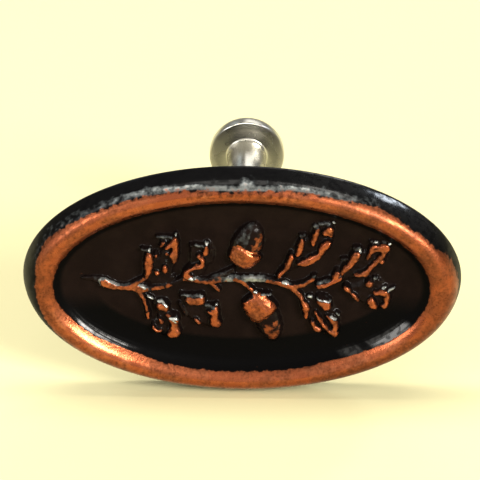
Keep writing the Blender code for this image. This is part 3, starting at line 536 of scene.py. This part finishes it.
def rim_finish(turn, inward):
    """Copper, dullness and scuffing of the bead, with a painted reflection in the grey, at a turn
    in degrees and a distance in.
    """
    edge = by_turn(COPPER_FROM, turn)
    past = inward - edge
    low = within(turn, 270, 70, 50)
    bottom = within(turn, 268, 34, 14)
    # It starts raggedly at the top, and there ends in small bays at the cove.
    ragged = 0.5 + 1.3 * within(turn, 92, 30, 14)
    radians = np.radians(turn)
    bays = 0.05 * np.sin(radians * 41) + 0.05 * np.sin(radians * 67 + 2)
    foot = COPPER_TO + 0.16 * low + 0.2 * within(turn, 214, 26, 14) - 0.1 * bottom
    foot = foot + bays * ease(np.sin(radians) / 0.3)
    fade = COPPER_FADE - 0.14 * low + 0.2 * bottom
    copper = ease(past / ragged + 0.5) * ease((foot - inward) / fade)
    # Brown flecks break up the copper at the top.
    inner = ease((inward - 1.7) / 0.7)
    dull = by_turn(DULL_OUTSIDE, turn) * (1 - inner) + by_turn(DULL_INSIDE, turn) * inner
    flaws = np.sin(0.83 * turn + 3 * inward) * np.sin(1.37 * turn - 5 * inward + 2)
    flaws = flaws + 0.5 * np.sin(2.3 * turn + inward)
    top = within(turn, 90, 17, 6) * ease((2.2 - inward) / 0.4)
    dull = dull + top * (1.5 * ease(2.5 * flaws) - 0.5)
    # Painted reflection: the grey strip along the outer edge stands partly for the light above
    # shining off it.
    scuff_and_sheen = by_turn(SCUFF_AND_SHEEN_BY_TURN, turn) * ease((past + 0.62) / 0.2) * ease((0.2 - past) / 0.25)
    for middle, half, pale in SCUFF_AND_SHEEN_SPOTS:
        patch = pale * ease(1.4 - np.abs(turn - middle) / half) * ease((0.3 - past) / 0.3)
        scuff_and_sheen = np.maximum(scuff_and_sheen, patch * ease((inward - 0.1) / 0.5))
    return copper, dull, scuff_and_sheen


def on_oval(turn, inward, height):
    """The place at a turn in radians, a distance in and a height over the back."""
    half_x, half_z = half_axes(inward)
    x, z = half_x * math.cos(turn), half_z * math.sin(turn)
    return Vector((x, -NECK_LENGTH - height, z)) * MM


def next_loop(bm, edges, place):
    """Extrudes an open loop of edges, whose new points are moved by place."""
    grown = bmesh.ops.extrude_edge_only(bm, edges=edges)["geom"]
    for vert in [g for g in grown if isinstance(g, bmesh.types.BMVert)]:
        place(vert)
    return [g for g in grown if isinstance(g, bmesh.types.BMEdge) and g.is_boundary]


def cast_grain(x, z):
    """The small unevenness of a die-casting, in millimetres."""
    place = Vector((x, z, 0.0))
    return 0.05 * noise.noise(place * 2.3) + 0.014 * noise.noise(place * 6.1)


def slope_of(level, x, z):
    """How steep the grid is at each point, as the tangent of its tilt."""
    rise_u, rise_v = np.gradient(level)
    xu, xv = np.gradient(x)
    zu, zv = np.gradient(z)
    area = xu * zv - xv * zu
    area = np.where(np.abs(area) < 1e-9, 1e-9, area)
    return np.hypot((rise_u * zv - rise_v * zu) / area, (rise_v * xu - rise_u * xv) / area)


def as_grid(values, order):
    """The points' values as a grid."""
    return values[order].reshape(FACE_UP + 1, FACE_ACROSS + 1)


def from_grid(grid, order):
    """A grid's values in the order of the points."""
    values = np.zeros(grid.size)
    values[order] = grid.reshape(-1)
    return values


def face_finish(x, z, inwards, field, rough, steep):
    """Copper, dullness, gloss, the brown floor tone with its painted shade, and where its cove is.
    """
    turn = np.degrees(np.arctan2(z / HALF_HEIGHT, x / HALF_LENGTH)) % 360
    copper, dull, _ = rim_finish(turn, inwards)
    sprig_dull = 0.46 - 11 * rough + 0.18 * ease((field - 1.1) / 0.1)
    dull = np.where(inwards < 3.6, dull, sprig_dull)
    # Strands of light at the cove's lower left, and two patches at its lower right.
    strands = 0.5 + 0.5 * np.sin(15 * inwards + 0.12 * turn)
    wet = np.maximum(strands * within(turn, 214, 19, 7), within(turn, 322, 17, 4))
    wet *= 1 - 0.9 * within(turn, 316, 2.6, 1.2)
    in_cove = (inwards < 6.9) & (field < 0.1)
    gloss = ease((steep - 0.4) / 0.4)
    gloss = gloss * np.where(in_cove, wet * ease((4.5 - inwards) / 0.5), 0.22)
    # Painted shade: black instead of the brown black floor in a crescent low on the face, and in
    # the cove below the bead where its shadow falls.
    crescent = ease((-z - 0.5) / 3.0)
    brown_unshaded = (1 - crescent) * ease((inwards - 3.5) / 0.5)
    brown_unshaded = np.maximum(ease((inwards - 6.45) / 0.5), brown_unshaded)
    # Painted shade: the steep walls of the sprig are painted darker.
    brown_unshaded = brown_unshaded * (0.6 + 0.4 * ease((1.3 - steep) / 0.8))
    return copper, dull, gloss, brown_unshaded, in_cove


def front_of_head(bm, layers):
    """The floor with its sprig and cove: a fine grid, bent to the oval and raised."""
    bmesh.ops.create_grid(bm, x_segments=FACE_ACROSS, y_segments=FACE_UP, size=1.0)
    bm.verts.ensure_lookup_table()
    flat = np.array([vert.co[:2] for vert in bm.verts])
    u, v = flat[:, 0], flat[:, 1]
    order = np.lexsort((u, v))
    half_x, half_z = half_axes(COVE_EDGE)
    x, z = half_x * u * np.sqrt(1 - v * v / 2), half_z * v * np.sqrt(1 - u * u / 2)
    height, polish, grey = np.zeros((3, x.size))
    wobble_x = x + 0.025 * np.sin(9.1 * z + 2.3 * x) + 0.015 * np.sin(23 * z)
    wobble_z = z + 0.025 * np.sin(8.3 * x - 2.9 * z) + 0.015 * np.sin(21 * x)
    for add in (add_leaves, add_high_spots, add_stems, add_acorns, add_highlight_marks):
        add(wobble_x, wobble_z, height, polish, grey)
    field = from_grid(soften(as_grid(height, order), 2), order)
    # Only what stands proud is buffed, and less so in the dents of the casting.
    shine = from_grid(soften(as_grid(polish, order), 1), order) * ease((field - 0.42) / 0.16)
    rough = np.array([cast_grain(px, pz) for px, pz in zip(x, z)])
    shine *= 1 - 0.4 * ease((-0.016 - rough) / 0.012) * (field < 1.15)
    field += rough * ease((field - 0.1) / 0.3)
    inwards = distance_in(x, z)
    base = np.interp(inwards, [p[0] for p in COVE], [p[1] for p in COVE])
    lift = np.where(field > 0.02, np.maximum(base, FLOOR + field), base)
    steep = from_grid(slope_of(*[as_grid(a, order) for a in (lift, x, z)]), order)
    copper, dull, gloss, brown_unshaded, in_cove = face_finish(x, z, inwards, field, rough, steep)
    shine = np.maximum(shine, copper)
    grey = np.where(in_cove, 0.0, grey * ease((field - 0.1) / 0.2))
    for vert, px, pz, n, *finish in zip(bm.verts, x, z, lift, shine, dull, gloss, grey, brown_unshaded):
        vert.co = Vector((px, -NECK_LENGTH - n, pz)) * MM
        for layer, value in zip(layers, finish):
            vert[layer] = value


def turn_of(vert, inward):
    """The turn in radians of a point at a distance in."""
    half_x, half_z = half_axes(inward)
    return math.atan2(vert.co.z / MM / half_z, vert.co.x / MM / half_x)


# What each point of the casting knows of its finish and of its painted light and shade, from 0 to
# 1.
FINISHES = ("polish", "dull", "gloss", "scuff_and_sheen", "brown_unshaded")
WALL_GLOSS = 0.18
BACK_GLOSS = 0.3


def add_rim(bm, edges, layers):
    """The bead and the wall, loop by loop from the cove to the back's edge."""
    polish_layer, dull_layer, gloss_layer, scuff_and_sheen_layer, _ = layers
    before = COVE_EDGE
    for inward, height in RIM_LOOPS:
        def place(vert, now=inward, last=before, n=height):
            turn = turn_of(vert, last)
            degrees = math.degrees(turn)
            vert.co = on_oval(turn, now, n)
            finish = rim_finish(degrees % 360, now)
            vert[polish_layer], vert[dull_layer], vert[scuff_and_sheen_layer] = finish
            # Glossiest at the upper right, and duller on the bead's inner side.
            gloss = WALL_GLOSS + 0.5 * float(within(degrees, 52, 30, 15))
            vert[gloss_layer] = gloss * (1 if now < 2.3 else 0.3)
        edges = next_loop(bm, edges, place)
        before = inward
    return edges


def add_back(bm, edges, gloss_layer):
    """The back, drawn with fewer points than the rim that it joins."""
    turns = [2 * math.pi * i / BACK_POINTS for i in range(BACK_POINTS)]
    ring = [bm.verts.new(on_oval(turn, BACK_LAND, 0.0)) for turn in turns]
    for vert in ring:
        vert[gloss_layer] = BACK_GLOSS
    inner = [bm.edges.new(pair) for pair in zip(ring, ring[1:] + ring[:1])]
    bmesh.ops.bridge_loops(bm, edges=edges + inner)
    edges = inner
    before = BACK_LAND
    for inward, height in BACK_LOOPS:
        def place(vert, now=inward, last=before, n=height):
            vert.co = on_oval(turn_of(vert, last), now, n)
        edges = next_loop(bm, edges, place)
        before = inward
    return edges


def add_neck(bm, edges):
    """The neck and its hole, in round loops."""
    turns = {}
    for radius, behind in NECK_LOOPS:
        def place(vert, r=radius, b=behind):
            turn = turns.get((round(vert.co.x, 9), round(vert.co.z, 9)))
            if turn is None:
                turn = turn_of(vert, BACK_LOOPS[-1][0])
            vert.co = Vector((r * math.cos(turn), b - NECK_LENGTH, r * math.sin(turn))) * MM
            turns[(round(vert.co.x, 9), round(vert.co.z, 9))] = turn
        edges = next_loop(bm, edges, place)
    bmesh.ops.holes_fill(bm, edges=edges, sides=0)


def build_knob():
    """The casting, from its face round to the end of its hole."""
    bm = bmesh.new()
    for name in FINISHES:
        bm.verts.layers.float.new(name)
    layers = [bm.verts.layers.float[name] for name in FINISHES]
    front_of_head(bm, layers)
    edges = [edge for edge in bm.edges if edge.is_boundary]
    edges = add_rim(bm, edges, layers)
    edges = add_back(bm, edges, layers[FINISHES.index("gloss")])
    add_neck(bm, edges)
    return bm


def add_object(name, data):
    thing = bpy.data.objects.new(name, data)
    bpy.context.scene.collection.objects.link(thing)
    return thing


def mesh_object(name, bm):
    """A new object from a bmesh."""
    mesh = bpy.data.meshes.new(name)
    bm.to_mesh(mesh)
    bm.free()
    return add_object(name, mesh)


def finish_piece(name, bm, material, sharp):
    """A smooth piece, but for edges sharper than an angle in degrees."""
    bmesh.ops.recalc_face_normals(bm, faces=bm.faces)
    piece = mesh_object(name, bm)
    piece.data.materials.append(material)
    piece.data.shade_smooth()
    piece.data.set_sharp_from_angle(angle=math.radians(sharp))
    return piece


def apply_modifiers(piece):
    graph = bpy.context.evaluated_depsgraph_get()
    mesh = bpy.data.meshes.new_from_object(piece.evaluated_get(graph))
    piece.modifiers.clear()
    piece.data = mesh


# The screw, in millimetres along its axis from the seat of the neck.


BEARING = 13.7
TIP = -11.7
SHANK_RADIUS = 2.083
SHANK_END = BEARING - 0.36
THREAD_DEPTH = 0.47
THREAD_TOP = 5.2
PITCH = 0.794
SCREW_POINTS = 64
# The head from the shank to its crown: radius, distance past the bearing face.
SCREW_HEAD = [
    (2.083, -0.36), (2.11, -0.16), (2.2, -0.05), (2.36, 0), (3.2, 0), (3.86, 0), (4.0, 0.04),
    (4.07, 0.14), (4.08, 0.3), (4.08, 0.95), (4.03, 1.3), (3.9, 1.68), (3.68, 2.02), (3.36, 2.3),
    (2.9, 2.53), (2.3, 2.7), (1.6, 2.82), (0.8, 2.89), (0.0, 2.9),
]
SLOT_LENGTH = 10.2
SLOT_WIDTH = 1.18
SLOT_FLOOR = 1.6
SLOT_TOP = 3.9


def cut_thread(bm):
    """Winds a groove round the shank, tapered at the tip."""
    for vert in bm.verts:
        y = vert.co.y / MM
        radius = math.hypot(vert.co.x, vert.co.z) / MM
        if y > THREAD_TOP + PITCH or radius < 1.2 or radius > 2.1:
            continue
        turn = math.atan2(vert.co.z, vert.co.x) / (2 * math.pi)
        phase = (y / PITCH + turn) % 1.0
        groove = min(1.0, max(0.0, 1 - abs(phase - 0.5) / 0.42) * 1.15)
        fade = min(1.0, max(0.0, (THREAD_TOP + PITCH - y) / PITCH))
        start = min(1.0, max(0.0, (y - TIP) / 0.7))
        new = (SHANK_RADIUS - THREAD_DEPTH * groove * fade) * (0.78 + 0.22 * start)
        vert.co.x *= new / radius
        vert.co.z *= new / radius


def build_screw():
    """The screw, spun from its profile."""
    bm = bmesh.new()
    steps = int((SHANK_END - TIP) / 0.1)
    shank = [(SHANK_RADIUS, TIP + (SHANK_END - TIP) * i / steps) for i in range(steps)]
    head = [(radius, BEARING + past) for radius, past in SCREW_HEAD]
    profile = [(0.0, TIP), (0.9, TIP)] + shank + head
    verts = [bm.verts.new(Vector((r, y, 0)) * MM) for r, y in profile]
    line = [bm.edges.new(pair) for pair in zip(verts, verts[1:])]
    bmesh.ops.spin(
        bm, geom=verts + line, cent=(0, 0, 0), axis=(0, 1, 0), angle=2 * math.pi,
        steps=SCREW_POINTS, use_merge=True,
    )
    bmesh.ops.remove_doubles(bm, verts=bm.verts, dist=1e-7)
    cut_thread(bm)
    return bm


def slot_tool():
    """The block that cuts the slot."""
    bm = bmesh.new()
    bmesh.ops.create_cube(bm, size=1.0)
    for vert in bm.verts:
        vert.co.x *= SLOT_LENGTH * MM
        vert.co.y = (BEARING + (SLOT_FLOOR if vert.co.y < 0 else SLOT_TOP)) * MM
        vert.co.z *= SLOT_WIDTH * MM
    bmesh.ops.recalc_face_normals(bm, faces=bm.faces)
    return mesh_object("slot_tool", bm)


# The finishes.


# Copper from dark to bright, and the browns where lacquer stayed on it.
COPPER = [(0.35, (0.32, 0.08, 0.031)), (0.5, (0.42, 0.114, 0.045)), (0.68, (0.57, 0.19, 0.086))]
BROWN = (0.09, 0.024, 0.01), (0.25, 0.068, 0.027)
SPECK = (0.11, 0.032, 0.013)
# The lacquer: black where it shines, also standing as painted shade on the face; brown black on
# the floor; grey where it is scuffed and where highlights and reflections are painted.
BLACK = (0.0012, 0.0011, 0.0013)
BROWN_BLACK = (0.0058, 0.003, 0.0026), (0.0086, 0.0046, 0.0038)
SCUFF_AND_SHEEN_GREY = (0.075, 0.082, 0.085), (0.5, 0.52, 0.5)
ZINC = [(0.3, (0.48, 0.465, 0.4)), (0.7, (0.58, 0.565, 0.52))]
CREAM = (0.7, 0.655, 0.375)
# The patterns: how fine and how detailed they are.
PATTERNS = (("Clouds", 480.0, 4.0), ("Grain", 4500.0, 2.0), ("Pits", 1700.0, 3.0))
# Sockets of the Mix node: its factor, two inputs and output.
MIX_SOCKETS = {"FLOAT": (0, 2, 3, 0), "RGBA": (0, 6, 7, 2)}


def fill(node, inputs):
    """Links inputs of a node to outputs, or sets them to numbers or colours."""
    for name, value in inputs.items():
        socket = node.inputs[name]
        if isinstance(value, tuple):
            socket.default_value = (*value, 1.0)
        elif isinstance(value, (int, float)):
            socket.default_value = value
        else:
            node.id_data.links.new(value, socket)


def blank_material(name):
    material = bpy.data.materials.new(name)
    material.use_nodes = True
    tree = material.node_tree
    return material, tree, tree.nodes["Principled BSDF"]


def colour_ramp(tree, value, stops):
    ramp = tree.nodes.new("ShaderNodeValToRGB")
    cells = ramp.color_ramp.elements
    while len(cells) < len(stops):
        cells.new(0.5)
    for cell, (position, colour) in zip(cells, stops):
        cell.position = position
        cell.color = (*colour, 1.0)
    fill(ramp, {0: value})
    return ramp.outputs[0]


def speckle_group():
    """Clouding, fine grain and pits, from a place on the object."""
    group = bpy.data.node_groups.new("speckle", "ShaderNodeTree")
    face = group.interface
    face.new_socket("Place", in_out="INPUT", socket_type="NodeSocketVector")
    face.new_socket("Scale", in_out="INPUT", socket_type="NodeSocketFloat")
    for name, _, _ in PATTERNS:
        face.new_socket(name, in_out="OUTPUT", socket_type="NodeSocketFloat")
    start = group.nodes.new("NodeGroupInput")
    end = group.nodes.new("NodeGroupOutput")
    scaled = group.nodes.new("ShaderNodeVectorMath")
    scaled.operation = "SCALE"
    fill(scaled, {0: start.outputs["Place"], "Scale": start.outputs["Scale"]})
    for name, scale, detail in PATTERNS:
        pattern = group.nodes.new("ShaderNodeTexNoise")
        fill(pattern, {"Vector": scaled.outputs[0], "Scale": scale, "Detail": detail})
        fill(end, {name: pattern.outputs[0]})
    return group


def placed_speckle(tree, speckle, scale):
    spots = tree.nodes.new("ShaderNodeGroup")
    spots.node_tree = speckle
    place = tree.nodes.new("ShaderNodeTexCoord").outputs["Object"]
    fill(spots, {"Place": place, "Scale": scale})
    return [spots.outputs[name] for name, _, _ in PATTERNS]


def maths(tree, operation, *values, clamp=False):
    node = tree.nodes.new("ShaderNodeMath")
    node.operation = operation
    node.use_clamp = clamp
    fill(node, dict(enumerate(values)))
    return node.outputs[0]


def mix(tree, kind, *values):
    """Two numbers or two colours, mixed by a factor."""
    node = tree.nodes.new("ShaderNodeMix")
    node.data_type = kind
    *sockets, result = MIX_SOCKETS[kind]
    fill(node, dict(zip(sockets, values)))
    return node.outputs[result]


def map_range(tree, value, low, high, to_low=0.0, to_high=1.0):
    """A value between low and high, eased to a new range."""
    node = tree.nodes.new("ShaderNodeMapRange")
    node.interpolation_type = "SMOOTHSTEP"
    names = ("Value", "From Min", "From Max", "To Min", "To Max")
    fill(node, dict(zip(names, (value, low, high, to_low, to_high))))
    return node.outputs["Result"]


def own_value(tree, name):
    node = tree.nodes.new("ShaderNodeAttribute")
    node.attribute_name = name
    return node.outputs["Fac"]


def bumps(tree, height, strength, distance):
    node = tree.nodes.new("ShaderNodeBump")
    fill(node, {"Strength": strength, "Distance": distance, "Height": height})
    return node.outputs[0]


def copper_tone(tree, shown, clouds, grain, pits):
    """Copper, bright where buffed hard and brown where lacquer half stayed; how dull it is."""
    mottle = maths(tree, "MULTIPLY_ADD", clouds, 2.8, -1.4)
    spots = maths(tree, "MULTIPLY_ADD", pits, 2.4, -1.2)
    thin = map_range(tree, shown, 0.5, 0.95, 0.6, 0.0)
    dullness = maths(tree, "ADD", own_value(tree, "dull"), mottle)
    dullness = maths(tree, "ADD", dullness, spots)
    dullness = maths(tree, "ADD", dullness, thin, clamp=True)
    brown = mix(tree, "RGBA", map_range(tree, pits, 0.35, 0.65), *BROWN)
    bright = colour_ramp(tree, clouds, COPPER)
    browned = map_range(tree, dullness, 0.1, 1.0, 0.0, 0.88)
    tone = mix(tree, "RGBA", browned, bright, brown)
    grains = map_range(tree, grain, 0.46, 0.64, 0.15, 0.8)
    specks = maths(tree, "MULTIPLY", grains, dullness, clamp=True)
    return mix(tree, "RGBA", specks, tone, SPECK), dullness


def lacquer_tone(tree, clouds, pits):
    """Black lacquer, also black as painted shade on the face, brown black on the floor, and grey
    along scuffed edges and as painted highlights and reflections; how much grey shows.
    """
    floor = mix(tree, "RGBA", map_range(tree, clouds, 0.35, 0.7), *BROWN_BLACK)
    black = mix(tree, "RGBA", own_value(tree, "brown_unshaded"), BLACK, floor)
    flecks = maths(tree, "MULTIPLY_ADD", pits, 1.2, -0.6)
    # The grey is partly real scuffing and partly painted highlights and reflections.
    scuff_and_sheen_share = own_value(tree, "scuff_and_sheen")
    scuff_and_sheen = map_range(tree, maths(tree, "ADD", scuff_and_sheen_share, flecks), 0.3, 0.9)
    fine = maths(tree, "MULTIPLY", pits, 0.6)
    light = maths(tree, "MULTIPLY_ADD", scuff_and_sheen_share, 0.8, fine)
    grey = mix(tree, "RGBA", map_range(tree, light, 0.68, 1.48), *SCUFF_AND_SHEEN_GREY)
    return mix(tree, "RGBA", scuff_and_sheen, black, grey), scuff_and_sheen


def aged_copper(speckle):
    """Black lacquer over a casting, buffed back to copper on what stands proud."""
    material, tree, shader = blank_material("aged_copper")
    clouds, grain, pits = placed_speckle(tree, speckle, 1.0)
    ragged = maths(tree, "MULTIPLY_ADD", pits, 1.4, -0.7)
    shown = maths(tree, "ADD", own_value(tree, "polish"), ragged)
    copper = map_range(tree, shown, 0.34, 0.66)
    tone, dullness = copper_tone(tree, shown, clouds, grain, pits)
    lacquer, scuff_and_sheen = lacquer_tone(tree, clouds, pits)
    scuff_and_sheen_metal = maths(tree, "MULTIPLY", scuff_and_sheen, 0.6)
    rough_copper = mix(tree, "FLOAT", dullness, 0.22, 0.46)
    rough_black = map_range(tree, pits, 0.3, 0.7, 0.42, 0.55)
    rough_lacquer = mix(tree, "FLOAT", scuff_and_sheen, rough_black, 0.3)
    breaks = map_range(tree, pits, 0.36, 0.56, 0.35, 1.1)
    wet = maths(tree, "MULTIPLY", own_value(tree, "gloss"), breaks)
    wet = maths(tree, "SUBTRACT", wet, scuff_and_sheen, clamp=True)
    fill(shader, {
        "Base Color": mix(tree, "RGBA", copper, lacquer, tone),
        "Metallic": mix(tree, "FLOAT", copper, scuff_and_sheen_metal, 1.0),
        "Roughness": mix(tree, "FLOAT", copper, rough_lacquer, rough_copper),
        "Specular IOR Level": 0.03,
        "Coat Weight": mix(tree, "FLOAT", copper, wet, 0.06),
        "Coat Roughness": 0.13,
        "Normal": bumps(tree, mix(tree, "FLOAT", copper, pits, grain), 0.4, 0.00004),
    })
    return material


def bright_zinc(speckle):
    """Zinc plate with a faint yellow, dulled a little in clouds."""
    material, tree, shader = blank_material("bright_zinc")
    clouds, grain, _ = placed_speckle(tree, speckle, 0.5)
    fill(shader, {
        "Base Color": colour_ramp(tree, clouds, ZINC),
        "Metallic": 1.0,
        "Roughness": map_range(tree, clouds, 0.3, 0.7, 0.25, 0.3),
        "Normal": bumps(tree, grain, 0.05, 0.00002),
    })
    return material


def cream_floor():
    material, _, shader = blank_material("cream_floor")
    fill(shader, {"Base Color": CREAM, "Roughness": 0.9})
    return material


# The stage.


# Lights, all aimed at the head: name, place, width and height, power, colour, roll in degrees.
HEAD_MIDDLE = (0, -0.012, 0)
LIGHTS = [
    ("window", (0.56, 0.62, 0.54), (0.13, 0.2), 1.6, (0.82, 0.9, 1.0), 0),
    ("right", (0.62, -0.63, 0.475), (0.27, 0.46), 11.0, (1.0, 0.96, 0.9), 43),
    ("left", (-0.71, 0.06, 0.71), (0.22, 0.3), 2.2, (0.95, 0.97, 1.0), 0),
    ("overhead", (0.0, 0.08, 0.95), (1.1, 0.34), 7.5, (1.0, 0.96, 0.88), 0),
    ("front", (0.0, -1.0, 0.64), (2.2, 1.45), 8.9, (1.0, 0.95, 0.86), 0),
    ("left wall", (-1.05, -0.3, 0.45), (0.9, 0.9), 1.9, (1.0, 0.96, 0.92), 0),
    ("left low", (-0.74, -0.5, 0.46), (0.26, 0.4), 1.8, (1.0, 0.97, 0.93), 0),
    ("back", (0.15, 0.86, 0.5), (0.42, 0.3), 1.0, (1.0, 0.98, 0.95), 0),
    ("back left", (-0.36, 0.82, 0.46), (0.26, 0.3), 0.2, (0.75, 0.9, 1.0), 0),
]
# The photograph in pixels: its width, the focal length and the middle of the head's back.
PICTURE = 480.0
FOCAL = 2845.0
HEAD_AT = (242.0, 275.2)


def build_floor(material):
    bm = bmesh.new()
    bmesh.ops.create_grid(bm, x_segments=1, y_segments=1, size=1.5)
    bmesh.ops.translate(bm, verts=bm.verts, vec=(0, 0, -HALF_HEIGHT * MM))
    floor = mesh_object("floor", bm)
    floor.data.materials.append(material)


def add_light(name, spot, size, power, colour, roll):
    light = bpy.data.lights.new(name, "AREA")
    light.shape = "RECTANGLE"
    light.size, light.size_y = size
    light.energy = power
    light.color = colour
    lamp = add_object(name, light)
    aimed = (Vector(HEAD_MIDDLE) - Vector(spot)).to_track_quat("-Z", "Y")
    lamp.location = spot
    lamp.rotation_euler = (aimed @ Quaternion((0, 0, 1), math.radians(roll))).to_euler()


def light_the_stage():
    """Windows to the right and behind, a long light above, and the soft light of a room."""
    world = bpy.data.worlds.new("room")
    bpy.context.scene.world = world
    world.use_nodes = True
    sky = world.node_tree.nodes["Background"]
    sky.inputs["Color"].default_value = (1.0, 0.95, 0.86, 1.0)
    sky.inputs["Strength"].default_value = 0.2
    for light in LIGHTS:
        add_light(*light)


def set_camera():
    """The photograph's view: from 30 degrees above the face and a little to its right."""
    turn, lift, distance = math.radians(1.2), math.radians(29.7), 0.289
    level = math.cos(lift)
    back = Vector((math.sin(turn) * level, -math.cos(turn) * level, math.sin(lift)))
    right = Vector((math.cos(turn), math.sin(turn), 0))
    up = back.cross(right)
    middle = Vector((0, -NECK_LENGTH * MM, 0))
    shift_x = (HEAD_AT[0] - PICTURE / 2) * distance / FOCAL
    shift_y = -(HEAD_AT[1] - PICTURE / 2) * distance / FOCAL
    data = bpy.data.cameras.new("camera")
    data.sensor_width = 36.0
    data.lens = data.sensor_width * FOCAL / PICTURE
    data.clip_start = 0.01
    camera = add_object("camera", data)
    camera.location = middle - right * shift_x - up * shift_y + back * distance
    camera.rotation_euler = back.to_track_quat("Z", "Y").to_euler()
    bpy.context.scene.camera = camera
    bpy.context.scene.view_settings.view_transform = "Standard"


def main():
    speckle = speckle_group()
    copper, zinc = aged_copper(speckle), bright_zinc(speckle)
    for name, material in (("knob", copper), ("screw", zinc)):
        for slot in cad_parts[name].material_slots:
            slot.material = material
    knob = finish_piece("knob_casting", build_knob(), copper, 50)
    thin = knob.modifiers.new("thin", "DECIMATE")
    thin.ratio = 0.75
    apply_modifiers(knob)
    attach(knob, "root")
    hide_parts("knob")
    screw = finish_piece("fixing_screw", build_screw(), zinc, 35)
    tool = slot_tool()
    cut = screw.modifiers.new("slot", "BOOLEAN")
    cut.operation = "DIFFERENCE"
    cut.solver = "EXACT"
    cut.object = tool
    apply_modifiers(screw)
    bpy.data.objects.remove(tool, do_unlink=True)
    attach(screw, "root")
    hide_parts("screw")
    build_floor(cream_floor())
    light_the_stage()
    set_camera()


main()
